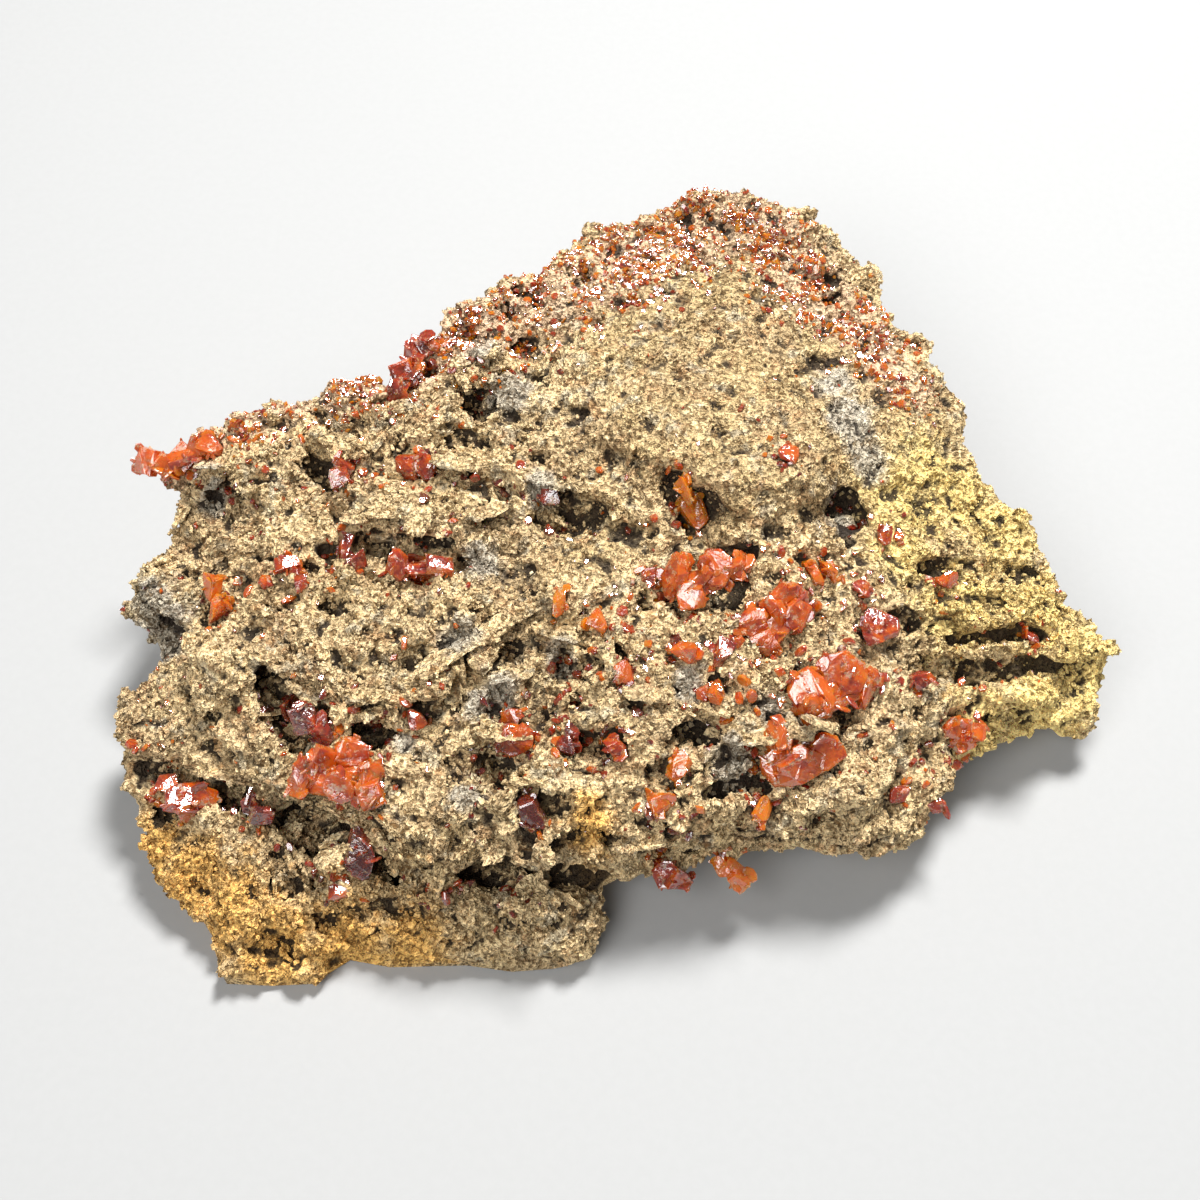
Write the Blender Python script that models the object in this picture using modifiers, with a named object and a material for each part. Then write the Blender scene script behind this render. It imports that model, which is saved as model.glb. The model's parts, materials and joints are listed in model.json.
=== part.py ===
"""Wulfenite on matrix: a hand specimen of crumbly limonite with orange-red tabular crystals.

The matrix is one solid. It starts as the plan outline, extruded and remeshed, and is then
pressed between a top and an underside that run through named heights. Knobs and thin shells
are joined to it, and crevices, grooves and hollows are cut out of it. Each group of crystals
grown together is a solid of its own, seated in a pocket of the matrix.

All design numbers below are in millimetres. The origin is the middle of the footprint, on
the surface that the specimen rests on. +X runs along the specimen and +Z is up.
"""

import math
import random

import bmesh
import bpy
import numpy as np
from mathutils import Matrix, Vector

MM = 0.001
GAP = 0.3  # least clearance between a crystal group and its pocket
ROUGH_CLEARANCE = 1.0  # of the pocket before the rock is thinned out

LIMONITE = (0.36, 0.22, 0.09)
ORANGE_RED = (0.72, 0.13, 0.02)

# ---------------------------------------------------------------- the matrix
# The rim, clockwise from the west tip: x, y and the height at which the rock is widest.
RIM = (
    # north-west edge, under the crystal crust
    (-59, 9, 24), (-53, 12, 25), (-49, 14.5, 25), (-44.5, 16.5, 25), (-40, 18.5, 25),
    (-36.5, 21, 25), (-31.5, 22, 26), (-28.5, 23, 26), (-26.5, 26, 26), (-23, 29.5, 27),
    (-16.5, 34, 28), (-13, 37.5, 28), (-7.5, 39.5, 29), (-5.5, 43, 29),
    # north crest
    (-2.5, 45, 29), (4, 47, 30), (11.5, 50, 30), (18.5, 50, 30), (21.5, 48, 29),
    (27.5, 48, 28), (28, 44, 28), (32.5, 41.5, 27), (32.5, 37.5, 27), (34, 32.5, 26),
    # east shoulder and the wing
    (37, 29, 26), (40.5, 25, 25), (43.5, 20, 24), (44, 18, 23), (43.5, 13.5, 21),
    (46.5, 9.5, 20), (49.5, 6, 19), (52.5, 0.5, 18), (55, -3.5, 17), (58.5, -7.5, 15),
    (61, -10.5, 12), (61, -14, 8), (58, -19, 6), (55.5, -20, 6), (52, -19.5, 6),
    (46.5, -21, 7),
    # south-east edge, an overhanging lip
    (42.5, -24, 8), (39, -28, 9), (39, -31, 9), (34.5, -35.5, 9), (30.5, -38, 9),
    (27, -37.5, 9), (23.5, -36, 9), (17.5, -36.5, 9), (14, -38, 9), (9.5, -38, 8),
    (4.5, -38.5, 8), (0.5, -39.5, 8), (-1.5, -40.5, 7),
    # front of the lower ledge
    (-1.5, -44, 3), (-4, -47.5, 1), (-10.5, -48.5, 1), (-17.5, -47, 1), (-26, -47.5, 1),
    (-31.5, -46.5, 1), (-34.5, -49.5, 1), (-42, -50, 1), (-46.5, -49.5, 1), (-48, -45, 2),
    (-52, -41.5, 4), (-54.5, -38.5, 5), (-56, -34.5, 6), (-58.5, -32.5, 7),
    # west side, below the thin tip
    (-60.5, -26.5, 9), (-61, -18.5, 10), (-57.5, -15, 11), (-56, -12.5, 11), (-58.5, -8, 12),
    (-60.5, -2.5, 13), (-59, 1, 14), (-55.5, 4, 16), (-56, 6, 19), (-55.5, 7.5, 21),
)

# Heights of the upper slab, inside the rim: x, y, height.
SLAB_HEIGHTS = (
    # along the north-west edge and the north crest
    (-48, 11, 27), (-36, 18, 27), (-23, 27, 28), (-13, 35, 29), (-2, 42, 30), (11, 47, 31),
    (23, 45, 30), (32, 36, 28), (39, 21, 27), (42, 14, 24),
    # the sandy dome
    (-18, 21, 27.5), (-8, 31, 29.5), (4, 28, 32), (16, 28, 32), (29, 26, 29), (-7, 13, 31),
    (7, 12, 32.5), (19, 10, 31.5), (32, 11, 27.5), (-19, 10, 29), (0, 3, 30), (12, 2, 30),
    (21, 1, 29),
    # the west shelf and the middle
    (-45, 7, 25.5), (-33, 3, 26), (-24, 0, 26.5), (-14, 1, 26), (-44, -9, 23),
    (-31, -14, 24.5), (-21, -14, 25), (-7, -11, 26), (7, -11, 26.5), (18, -13, 26.5),
    (29, -12, 24),
    # the wing
    (34, 0, 24), (46, 3, 20), (53, -4, 17), (58, -11, 13), (40, -11, 20), (51, -13, 16),
    (35, -21, 18.5), (42, -19, 14),
    # the west side and the front slope
    (-55, -7, 17), (-53, -15, 17), (-44, -16, 21.5), (-33, -22, 23), (-23, -21, 23),
    (-12, -21, 23.5), (2, -22, 25), (13, -23, 24.5), (24, -23, 22.5), (-55, -24, 14),
    (-46, -27, 16.5), (-36, -31, 19), (-27, -32, 20), (-16, -30, 20.5), (-5, -32, 22),
    (7, -32, 21), (18, -31, 19.5), (30, -30, 16), (36, -29, 13),
    # the front wall's top edge, over the ledge and over the lip
    (-52, -29, 14), (-39, -32.5, 16), (-34, -35, 16), (-26, -38, 17), (-20, -39, 18),
    (-11, -39, 18), (-2, -38.5, 16), (6, -37, 14), (11, -36, 14), (20, -34, 14),
    (29, -35, 12.5),
)

# Heights of the lower ledge, which juts out at the front left: x, y, height.
LEDGE_HEIGHTS = (
    (-57, -30, 10.5), (-53, -32, 11), (-45, -36, 11), (-37, -39, 10.5), (-25, -42, 9.5),
    (-14, -44, 8.5), (-4, -44, 7.5), (-44, -45, 7), (-33, -45, 8), (-20, -45, 7),
    (-10, -46, 6), (-50, -38.5, 8.5),
)

# The foot of the front wall, where the slab stands back from the ledge: x, y.
WALL_FOOT = (
    (-62, -27), (-53.5, -30), (-46.5, -31.5), (-39, -33.5), (-34, -36), (-26.5, -39),
    (-20, -40), (-11.5, -40.3), (-2.5, -40), (0, -43), (2, -60),
)

LIP_HALF_THICKNESS = 1.3  # of the rock at its rim
FOOT_INSET = 9.0  # how far the underside runs in below a high rim
FOOT_DEPTH = -1.1  # of the rough underside, before it is trimmed flat
STOCK_HEIGHT = 24.0  # of the outline as extruded

# Low beds whose front edges stand out as ledges: x, y, height of the middle, half length,
# half width, half thickness, turn in plan and lean from level, in degrees.
BEDS = (
    (-42, 9, 24.2, 11, 6, 2.4, 22, -8),  # west shelf
    (-22, 17, 27.0, 10, 6, 2.2, 30, -4),  # north-west shoulder
    (-24, -13, 24.0, 10, 6.5, 2.4, 30, -10),  # middle bed, over the long shell
    (-44, -17, 20.0, 8, 7, 2.6, -20, -8),  # west bed
    (-34, -29, 18.0, 9, 4.5, 2.2, -25, -6),  # bed over the long crevice
    (-12, -34.5, 18.6, 10, 4.2, 2.6, 2, -12),  # front beds
    (8, -33.5, 18.2, 9, 3.6, 2.4, 6, -12),
    (24, -31, 16.4, 8, 4.5, 2.6, 14, -10),
    (10, -19, 24.6, 8, 4, 2.2, -12, -8),  # middle of the east slope
    (-4, -10, 25.8, 7, 4, 2.0, 20, -6),
    (12, 8, 31.2, 15, 10, 2.2, -20, 0),  # crown of the sandy dome
    (45, -6.2, 18.2, 8, 1.5, 1.6, -8, 0),  # ridges of the wing
    (43, -14.1, 17.4, 9, 1.2, 1.6, 2, 0),
    (46, -18, 12.6, 8, 2.4, 2.0, 4, 0),
)

# Knobs that stand out of the rock: x, y, height of the middle, three radii.
KNOBS = (
    (-56.5, -5, 14, 4.5, 6, 4),  # dark knob on the west side
    (-57, -21, 12, 4, 5, 3.5),  # brown lump below it
    (-16.5, -24, 23, 2.6, 2, 1.8),  # grey knob below the long shell
    (-17.5, -34, 18.5, 2, 1.8, 2),  # blue-grey lump
    (-8, -32, 21.5, 3.4, 2.8, 2.4),  # pale block in the front slope
    (-9, -38.5, 17, 4, 2.4, 2.2),  # lumps along the front wall
    (-20, -38.5, 16, 3.4, 2.2, 2),
    (3, -36, 16, 4, 2.5, 2.4),
    (29, -34, 11.5, 4.5, 3.5, 2),
    (-30.5, -33.5, 17.5, 4, 2.8, 1.8),
    (33, 36, 27, 3.5, 3, 2.5),  # knobs of the north-east edge
    (38.5, 24, 26, 3.5, 4, 2.2),
    (-3, 43.5, 29, 3, 2.5, 2),
)

# Thin shells of limonite, long lenses: x, y, height, half length, half thickness, half
# depth, turn in plan and lean from upright, in degrees.
SHELLS = (
    (-18, -19.5, 23.6, 9.5, 0.9, 2.6, 36, 38),  # the long shell across the middle
    (-27.5, -24.8, 20.5, 4.5, 0.9, 2.4, 12, 35),  # curled lip over a slot
    (-9, 1.5, 25.6, 4.5, 0.9, 2.2, -35, 30),  # plates of the centre crevice
    (-16, -2.5, 25.6, 3.8, 0.9, 2.2, 20, 35),
    (-20, 4.5, 26.2, 3.5, 0.9, 2.0, -15, 30),
    (3, -26, 23.6, 4.5, 0.9, 2.2, -10, 35),  # plates of the front slope
    (16, -29, 20.6, 5.0, 1.0, 2.2, 12, 40),
    (-30, -36.6, 12.5, 6.0, 0.9, 2.0, -22, 40),  # curled rims over the long crevice
    (-46, -31.2, 13.2, 5.0, 0.9, 2.0, -8, 40),
    (24, 1.8, 28.6, 4.0, 0.9, 2.0, 10, 30),  # rim of the deep pit
)

# Crevices and grooves, each a bent tube: radius, then points x, y, height.
CREVICES = {
    "long_crevice": (2.2, (
        (-61, -27.2, 12.6), (-52, -29.2, 12), (-44, -30.8, 11.8), (-38, -32.6, 11.5),
        (-33, -35.2, 11.3), (-26, -37.8, 10.8), (-20, -39, 10.4), (-11, -39.2, 9.6),
        (-4, -39.4, 8.8), (2, -41, 8),
    )),
    "wing_upper_groove": (1.5, (
        (34, -12.6, 22), (38, -12.6, 19.6), (44, -12, 17.6), (49, -11, 16.2),
        (54, -10.4, 15.6),
    )),
    "wing_lower_groove": (1.5, (
        (31, -16.4, 22.6), (37, -16.4, 18.6), (43, -15.6, 16.2), (50, -14.6, 14),
        (57, -14, 11.5), (63, -14.4, 10),
    )),
    "wing_north_furrow": (1.1, ((34, 1, 25.4), (40, 2, 22.6), (46, 0.6, 20.6), (52, -2, 19))),
    "wing_middle_furrow": (1.1, ((34, -5, 24), (41, -3.6, 21), (48, -4, 19), (54, -6, 17.8))),
    "wing_third_furrow": (1.1, ((36, -9, 22.8), (43, -8.4, 19.8), (50, -8, 17.8))),
}

# Hollows, each an ellipsoid that leans back under its upper edge: x, y, height of the
# middle, half width, half height, half depth, turn in plan in degrees.
HOLLOWS = (
    (-49.5, 4.5, 24.5, 2.5, 2.1, 4.2, 10),  # west shelf
    (-37, 7, 25, 2.9, 2, 4.2, -10),
    (-24.5, 7.5, 27, 3.4, 1.8, 3.7, 0),
    (-27, -4.3, 24.8, 6.7, 2.2, 4.7, -4),  # west pocket
    (-39, -21.5, 21, 3.6, 3.1, 4.7, -35),  # dark pocket of the west front
    (-28, -26.3, 20.4, 3.8, 1.8, 4.2, 12),  # slot under the curled shell
    (-15.5, 0.8, 26, 2.9, 1.8, 4.7, -15),  # centre crevice
    (-7.5, -0.6, 26.4, 5, 1.7, 4.7, -20),
    (-20.5, 3, 26.2, 2.5, 1.7, 4.2, 10),
    (-5.5, -20, 24.6, 2, 1.8, 4.2, 0),  # holes of the front slope
    (-12, -24.5, 23.4, 4.5, 2.3, 4.2, 10),
    (-13.5, -31, 20.6, 3.4, 1.8, 3.7, -10),
    (-2.5, -28.5, 23, 2.7, 1.7, 3.7, 10),
    (9, -28.3, 23, 3.8, 2.2, 4.7, 10),
    (16, -31.4, 19.8, 4, 1.7, 4.2, 6),
    (20.5, -26.5, 22, 2, 1.8, 4.2, 0),
    (26.5, -0.8, 28, 2.9, 3.4, 6.3, 0),  # the deep pit
    (10, -2, 29.5, 2.7, 1.8, 4.2, 0),  # under the bright crystal
    (-18, 16, 28.6, 2.5, 2.3, 3.2, 20),  # grey pit of the north-west edge
    (35.5, -26.5, 15.5, 2.5, 1.8, 3.7, -20),
    (-33, -35, 13, 6.7, 2.1, 4.2, -24),  # deeper stretches of the long crevice
    (-14, -38.6, 11, 6.2, 2, 4.2, 0),
    (-46, -30, 13, 5, 2, 4.2, -8),
)
HOLLOW_LEAN = 28  # degrees from upright, back under the upper edge

COARSE_VOXEL = 1.2
FINE_VOXEL = 0.85
LAST_VOXEL = 0.6
LUMP_SIZE, LUMP_STRENGTH = 6.0, 2.6
CRUMB_SIZE, CRUMB_STRENGTH = 2.2, 1.3
MATRIX_TRIANGLES = 5100
TRIM_BOX = 300.0  # side of the box that trims the underside

# ---------------------------------------------------------------- the crystals
# Crystals grown together, by group. Each tablet: x, y, height of its middle, length, width,
# thickness, lean of its broad face from level, the way it leans in plan (0 is +X, -90 is
# -Y) and its turn in its own plane. Angles are in degrees.
CRYSTAL_GROUPS = {
    "west_tip_crystals": (
        (-58.5, 9, 24.5, 3.4, 3, 1.3, 40, -120, 10),
        (-56, 8.5, 24, 3.2, 2.6, 1.2, 60, -60, 30),
        (-54, 10, 24, 2.8, 2.6, 1.1, 35, -90, 50),
        (-52, 10, 25.5, 2.8, 2.4, 1.1, 50, -140, 15),
        (-50, 10, 26.5, 3, 2.4, 1.1, 20, -60, 40),
    ),
    "northwest_corner_crystals": (
        (-27, 20.5, 27, 3.2, 2.8, 1.2, 45, -90, 20),
        (-26.5, 24.5, 26.5, 3, 2.6, 1.2, 60, -150, 40),
        (-24.5, 25, 27.5, 2.6, 2.4, 1.1, 40, -60, 10),
        (-27.5, 16, 28.5, 2.8, 2.4, 1.1, 35, -90, 30),
    ),
    "west_shelf_crystals": (
        (-33.5, 7, 26.5, 3.8, 2.2, 1.1, 55, -60, 35),
        (-34, 4.5, 26.5, 3, 2.6, 1.1, 40, -100, 10),
    ),
    "shelf_edge_crystals": (
        (-26, 6, 27, 3, 2.6, 1.2, 50, -120, 20),
        (-23.5, 6.5, 26.5, 3.4, 2.6, 1.2, 55, -60, 30),
    ),
    "west_pocket_crystals": (
        (-26.5, -7.5, 26, 4.2, 3.2, 1.3, 50, -110, 20),
        (-24.5, -4, 22, 3.6, 3, 1.2, 65, -60, 40),
        (-21, -8, 26.5, 3.2, 2.2, 1, 16, -20, 25),
    ),
    "pocket_rods": (
        (-33, -4, 24.5, 3.6, 1.8, 1.3, 60, 170, 80),
        (-31, -6, 24.5, 3.4, 2, 1.3, 65, -30, 70),
    ),
    "west_edge_crystals": (
        (-49, -7, 21, 3.4, 2.6, 1.2, 55, -150, 30),
        (-47.5, -10.5, 21, 4.4, 3, 1.3, 70, -20, 75),
    ),
    "west_glint_tablets": (
        (-39.5, -6, 25, 2.9, 2.6, 1, 12, -10, 30),
        (-37, -9.5, 25.5, 2.4, 2.2, 1, 40, -90, 10),
    ),
    "round_red_tablet": (
        (-8.5, 1.5, 27.5, 2.8, 2.6, 1.2, 45, -100, 20),
    ),
    "bright_orange_tablet": (
        (9, -0.5, 27.5, 4.4, 3.8, 1.4, 40, -80, 25),
        (7.5, 0, 31, 3.8, 1.8, 1.1, 60, -150, 60),
    ),
    "centre_cluster": (
        (6, -9.5, 27, 4.8, 3.8, 1.4, 62, -165, 35),
        (9.2, -10.2, 27.1, 3.6, 2.8, 1.2, 68, 150, 48),
        (11, -9, 28, 4.4, 3.6, 1.3, 36, -90, 5),
        (13.8, -8.7, 27.5, 4, 2.8, 1.2, 72, -18, 60),
        (8.2, -12.2, 26.5, 4, 3.2, 1.2, 34, -112, 36),
    ),
    "orange_blade": (
        (-7, -13.5, 28, 4, 2.2, 1.2, 50, -60, 130),
    ),
    "orange_tablet": (
        (-2.5, -15, 25.5, 3, 2.6, 1.2, 40, -90, 45),
    ),
    "small_middle_crystal": (
        (3, -9.5, 26.5, 2.4, 2, 1, 45, -100, 10),
    ),
    "east_cluster": (
        (19.5, -12.5, 26.5, 4.8, 4, 1.4, 58, -60, 30),
        (17.5, -14, 26.5, 3.8, 3, 1.2, 72, -125, 50),
        (15, -15, 26, 3.8, 2.8, 1.3, 45, -90, 120),
        (20.5, -14.5, 26, 4, 3.2, 1.2, 42, -75, 15),
        (16.5, -17.5, 25, 3, 2.6, 1.1, 40, -100, 35),
    ),
    "edge_lit_blades": (
        (22.5, -8.5, 26, 4.2, 2.6, 1, 78, 20, 70),
        (24.5, -8, 26, 4.2, 2.2, 1, 80, 25, 75),
    ),
    "slope_glint_tablet": (
        (28.5, -10, 24.5, 2.8, 2.6, 1, 14, -10, 20),
    ),
    "large_glint_tablet": (
        (30.5, -13, 22.5, 4.8, 4, 1.3, 13, -10, 35),
        (29, -15.5, 23.5, 2.6, 2.2, 1, 20, 0, 10),
    ),
    "pit_edge_crystal": (
        (31.5, -2, 24.5, 2.8, 2.2, 1, 30, -60, 30),
    ),
    "red_tablets": (
        (25.5, -20, 23, 5.4, 5, 1.4, 40, -90, 20),
        (21.5, -23.5, 23.5, 5.6, 4.6, 1.5, 30, -105, 35),
        (21.5, -25.5, 22.5, 5, 3, 1.3, 64, -88, 5),
        (28.5, -21, 21, 4.6, 2.2, 1.2, 66, -45, 150),
    ),
    "twin_tablets": (
        (18, -30.5, 19.5, 4.6, 4.2, 1.5, 38, -110, 15),
        (20.5, -30.5, 19.5, 5.4, 4.2, 1.5, 50, -60, 80),
        (17.5, -28, 22, 4.6, 2.2, 1.2, 70, -150, 55),
        (23.5, -28.8, 20, 4.4, 3.8, 1.3, 42, -80, 30),
    ),
    "glinting_orange_crystal": (
        (16, -34.5, 17.2, 3.2, 2.2, 1.2, 70, -20, 80),
    ),
    "long_orange_crystal": (
        (7, -19.5, 26.5, 4.8, 2.4, 1.3, 56, -125, 125),
    ),
    "white_glint_pair": (
        (11.5, -19, 26.5, 3.2, 2, 1, 13, 0, 60),
        (10.9, -21.3, 26.3, 2, 1.6, 0.9, 15, 0, 24),
    ),
    "drop_crystals": (
        (11, -23.5, 24.5, 3, 2.2, 1.2, 62, -20, 80),
        (9, -23.5, 24.5, 2.4, 1.8, 1.1, 50, -120, 20),
    ),
    "hollow_drop_crystal": (
        (6.5, -31.5, 22, 3.4, 2.2, 1.2, 42, -90, 150),
    ),
    "front_orange_crystal": (
        (4, -35, 19.5, 2.8, 2.4, 1.2, 38, -90, 30),
    ),
    "brown_orange_crystal": (
        (0.5, -21.5, 25, 3, 2.6, 1.2, 42, -90, 20),
    ),
    "pink_red_crystals": (
        (-12.5, -28, 21.5, 4, 3.2, 1.3, 52, -95, 75),
        (-11, -28, 22, 2.8, 2.4, 1.1, 35, -60, 20),
        (-12.5, -25, 21, 2.6, 2.2, 1.1, 42, -120, 10),
    ),
    "brown_red_plate": (
        (-10, -36.5, 20.5, 4.8, 2.6, 1.2, 46, -90, 12),
    ),
    "slope_plate": (
        (-5.5, -28, 23, 3.8, 1.8, 1, 50, -90, 5),
        (-6.5, -29.5, 23, 2.6, 2.2, 1.1, 40, -110, 30),
    ),
    "slope_red_crystal": (
        (-0.5, -29.5, 23, 2.6, 2.2, 1.1, 44, -70, 20),
    ),
    "small_rose_crystal": (
        (-23.5, -26, 22.5, 2.6, 2.2, 1.1, 40, -90, 30),
    ),
    "front_hollow_crystals": (
        (-35.5, -31, 19.5, 3.8, 3.2, 1.3, 45, -120, 20),
        (-33.5, -30, 20.5, 3.2, 2.8, 1.2, 60, -60, 40),
        (-30.5, -29, 20.5, 4, 3.2, 1.3, 40, -80, 80),
        (-31.5, -33, 20, 4, 3.2, 1.3, 50, -100, 30),
        (-36.5, -32, 18, 3.2, 2.8, 1.2, 40, -150, 10),
        (-28, -31.5, 20, 3.2, 2.6, 1.2, 60, -40, 50),
        (-28, -34, 19.5, 3.4, 2.8, 1.2, 45, -90, 15),
    ),
    "dark_pocket_crystals": (
        (-38.5, -21.5, 17.5, 3.4, 2.6, 1.2, 65, -30, 70),
        (-36, -25.5, 21.5, 3.2, 2.6, 1.2, 50, -100, 20),
        (-33.5, -27, 21, 2.8, 2.4, 1.1, 45, -80, 30),
    ),
    "foot_glint_tablets": (
        (-54, -28.5, 11, 3.4, 3, 1, 13, -10, 25),
        (-50.5, -31, 12.5, 4.8, 3.8, 1.2, 13, -5, 15),
        (-48, -31.5, 13.5, 3, 2.4, 1.1, 50, -60, 40),
    ),
    "ledge_glint_tablet": (
        (-32.5, -41, 10.5, 3.6, 3, 1.1, 15, -10, 30),
    ),
    "brown_plate": (
        (-29.5, -38.5, 13, 6.4, 3.8, 1, 52, -90, 4),
    ),
    "crevice_crystals": (
        (-43, -32.5, 14, 2.8, 2.4, 1.1, 50, -90, 20),
        (-41, -34, 14, 2.8, 2.2, 1.1, 60, -60, 50),
    ),
    "lower_edge_crystals": (
        (5, -38.5, 9, 3.8, 3, 1.3, 45, -110, 20),
        (7, -39.5, 8.5, 3.2, 2.6, 1.2, 60, -60, 40),
    ),
    "lower_edge_orange_crystals": (
        (13.5, -38.5, 9, 3.8, 2.8, 1.2, 50, -100, 10),
        (14, -39.5, 8.5, 2.8, 2.4, 1.1, 60, -80, 30),
        (11.5, -38, 9, 2.6, 2.2, 1.1, 45, -120, 40),
    ),
    "wing_foot_crystals": (
        (40, -22, 13, 3.4, 2.6, 1.2, 50, -60, 60),
        (41, -23.5, 11, 3.2, 2.6, 1.2, 60, -100, 30),
        (42.5, -22, 11.5, 2.6, 2.2, 1, 20, -20, 20),
    ),
    "wing_root_crystal": (
        (35, -19.5, 20, 3, 2.6, 1.1, 40, -80, 30),
    ),
    "southeast_crystal": (
        (32, -31, 14, 2.8, 2.2, 1.1, 55, -60, 70),
    ),
    "southeast_edge_crystal": (
        (37, -31, 11, 2.4, 2, 1, 45, -80, 20),
    ),
    "dome_crystal": (
        (19.5, 3.5, 33, 2.6, 2.4, 1, 14, -10, 25),
    ),
    "wing_glint_tablet": (
        (39, -6.5, 21, 2.6, 2.2, 1, 14, 0, 30),
    ),
    "groove_glint_tablet": (
        (50, -11, 15, 2.4, 2, 1, 16, 0, 10),
    ),
}

# Crusts of small crystals along the rim: points of the crust's base x, y, height; how many
# crystals; their least and greatest length.
CRUSTS = {
    "northwest_rim_crust": (
        ((-47.5, 11.5, 27), (-41.5, 15.5, 26.5), (-35.5, 18.5, 26.5), (-30.5, 20.5, 27)),
        7, (2.2, 3.0),
    ),
    "north_edge_crust": (
        ((-22.5, 27, 27.5), (-17.5, 31, 28.5), (-11.5, 35, 29.5), (-6, 37, 29.5), (-1.5, 40.5, 30)),
        9, (2.4, 3.4),
    ),
    "north_crust": (
        ((3, 44.5, 30.5), (9.5, 47, 30.5), (16.5, 47, 31), (22, 44.5, 30.5), (25.5, 42, 30)),
        9, (2.4, 3.4),
    ),
    "northeast_crust": (
        ((25.5, 36.5, 30), (29, 32.5, 28.5), (31.5, 27.5, 28.5), (34.5, 23, 28)),
        7, (2.2, 3.0),
    ),
}
CRUST_BASE_RADIUS = 1.2
CRUST_SPREAD = 1.5  # how far its crystals stray from the middle of the base
CRUST_THICKNESS = 1.1

FACETED_LENGTH = 3.7  # tablets from this length have cut corners
BEVELLED_LENGTH = 4.7  # and from this length a bevelled rim
RIM_SWELL = 1.14  # of the middle of a bevelled rim
ROOT_DEPTH = 0.4  # of a group's root below the middles of its crystals
ROOT_HALF_WIDTH = 0.8


def clear_scene():
    """Removes what the new scene starts with."""
    for item in list(bpy.data.objects):
        bpy.data.objects.remove(item, do_unlink=True)


def new_collection(name):
    collection = bpy.data.collections.new(name)
    bpy.context.scene.collection.children.link(collection)
    return collection


def principled(name, colour, roughness, transmission=0.0, ior=1.5):
    """A Principled BSDF material of one plain colour."""
    material = bpy.data.materials.new(name)
    material.use_nodes = True
    shader = material.node_tree.nodes["Principled BSDF"]
    shader.inputs["Base Color"].default_value = (*colour, 1.0)
    shader.inputs["Roughness"].default_value = roughness
    shader.inputs["Metallic"].default_value = 0.0
    shader.inputs["Transmission Weight"].default_value = transmission
    shader.inputs["IOR"].default_value = ior
    material.diffuse_color = (*colour, 1.0)
    return material


def new_object(name, mesh, collection, material=None):
    item = bpy.data.objects.new(name, mesh)
    collection.objects.link(item)
    if material:
        mesh.materials.append(material)
    return item


def select_only(item):
    bpy.ops.object.select_all(action="DESELECT")
    item.select_set(True)
    bpy.context.view_layer.objects.active = item


def apply_modifiers(item):
    """Makes the modifiers of an object part of its mesh."""
    select_only(item)
    for name in [modifier.name for modifier in item.modifiers]:
        bpy.ops.object.modifier_apply(modifier=name)


def mesh_of_curve(curve_object):
    """Turns a curve object into a mesh object with its caps welded."""
    graph = bpy.context.evaluated_depsgraph_get()
    mesh = bpy.data.meshes.new_from_object(curve_object.evaluated_get(graph))
    work = bmesh.new()
    work.from_mesh(mesh)
    bmesh.ops.remove_doubles(work, verts=work.verts, dist=0.00002)
    bmesh.ops.recalc_face_normals(work, faces=work.faces)
    work.to_mesh(mesh)
    work.free()
    name = curve_object.name
    collection = curve_object.users_collection[0]
    placed = curve_object.matrix_world.copy()
    bpy.data.objects.remove(curve_object, do_unlink=True)
    item = new_object(name, mesh, collection)
    item.matrix_world = placed
    return item


def extruded_outline(name, points, height, collection):
    """A flat outline as a 2D curve, filled and extruded, and made a mesh."""
    curve = bpy.data.curves.new(name, "CURVE")
    curve.dimensions = "2D"
    curve.fill_mode = "BOTH"
    curve.extrude = height * MM / 2
    spline = curve.splines.new("POLY")
    spline.points.add(len(points) - 1)
    for point, (x, y) in zip(spline.points, points):
        point.co = (x * MM, y * MM, 0, 1)
    spline.use_cyclic_u = True
    item = bpy.data.objects.new(name, curve)
    collection.objects.link(item)
    return mesh_of_curve(item)


def tube(name, radius, points, collection, resolution=2):
    """A bent tube with filled caps, made a mesh."""
    curve = bpy.data.curves.new(name, "CURVE")
    curve.dimensions = "3D"
    curve.bevel_depth = radius * MM
    curve.bevel_resolution = resolution
    curve.use_fill_caps = True
    spline = curve.splines.new("POLY")
    spline.points.add(len(points) - 1)
    for point, (x, y, z) in zip(spline.points, points):
        point.co = (x * MM, y * MM, z * MM, 1)
    item = bpy.data.objects.new(name, curve)
    collection.objects.link(item)
    return mesh_of_curve(item)


def ellipsoid(name, middle, radii, turn, lean, collection, around=16, along=8):
    """An ellipsoid, leaned about its own X axis and then turned in plan."""
    work = bmesh.new()
    place = (
        Matrix.Translation(Vector(middle) * MM)
        @ Matrix.Rotation(math.radians(turn), 4, "Z")
        @ Matrix.Rotation(math.radians(lean), 4, "X")
        @ Matrix.Diagonal((*(radius * MM for radius in radii), 1))
    )
    bmesh.ops.create_uvsphere(
        work, u_segments=around, v_segments=along, radius=1, matrix=place
    )
    mesh = bpy.data.meshes.new(name)
    work.to_mesh(mesh)
    work.free()
    return new_object(name, mesh, collection)


def plate(name, middle, half_sizes, turn, lean, collection):
    """A nine-sided plate with steep edges, placed as an ellipsoid is."""
    work = bmesh.new()
    place = (
        Matrix.Translation(Vector(middle) * MM)
        @ Matrix.Rotation(math.radians(turn), 4, "Z")
        @ Matrix.Rotation(math.radians(lean), 4, "X")
        @ Matrix.Diagonal((*(half_size * MM for half_size in half_sizes), 1))
    )
    bmesh.ops.create_cone(
        work, cap_ends=True, segments=9, radius1=1, radius2=0.88, depth=2, matrix=place
    )
    mesh = bpy.data.meshes.new(name)
    work.to_mesh(mesh)
    work.free()
    return new_object(name, mesh, collection)


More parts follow.
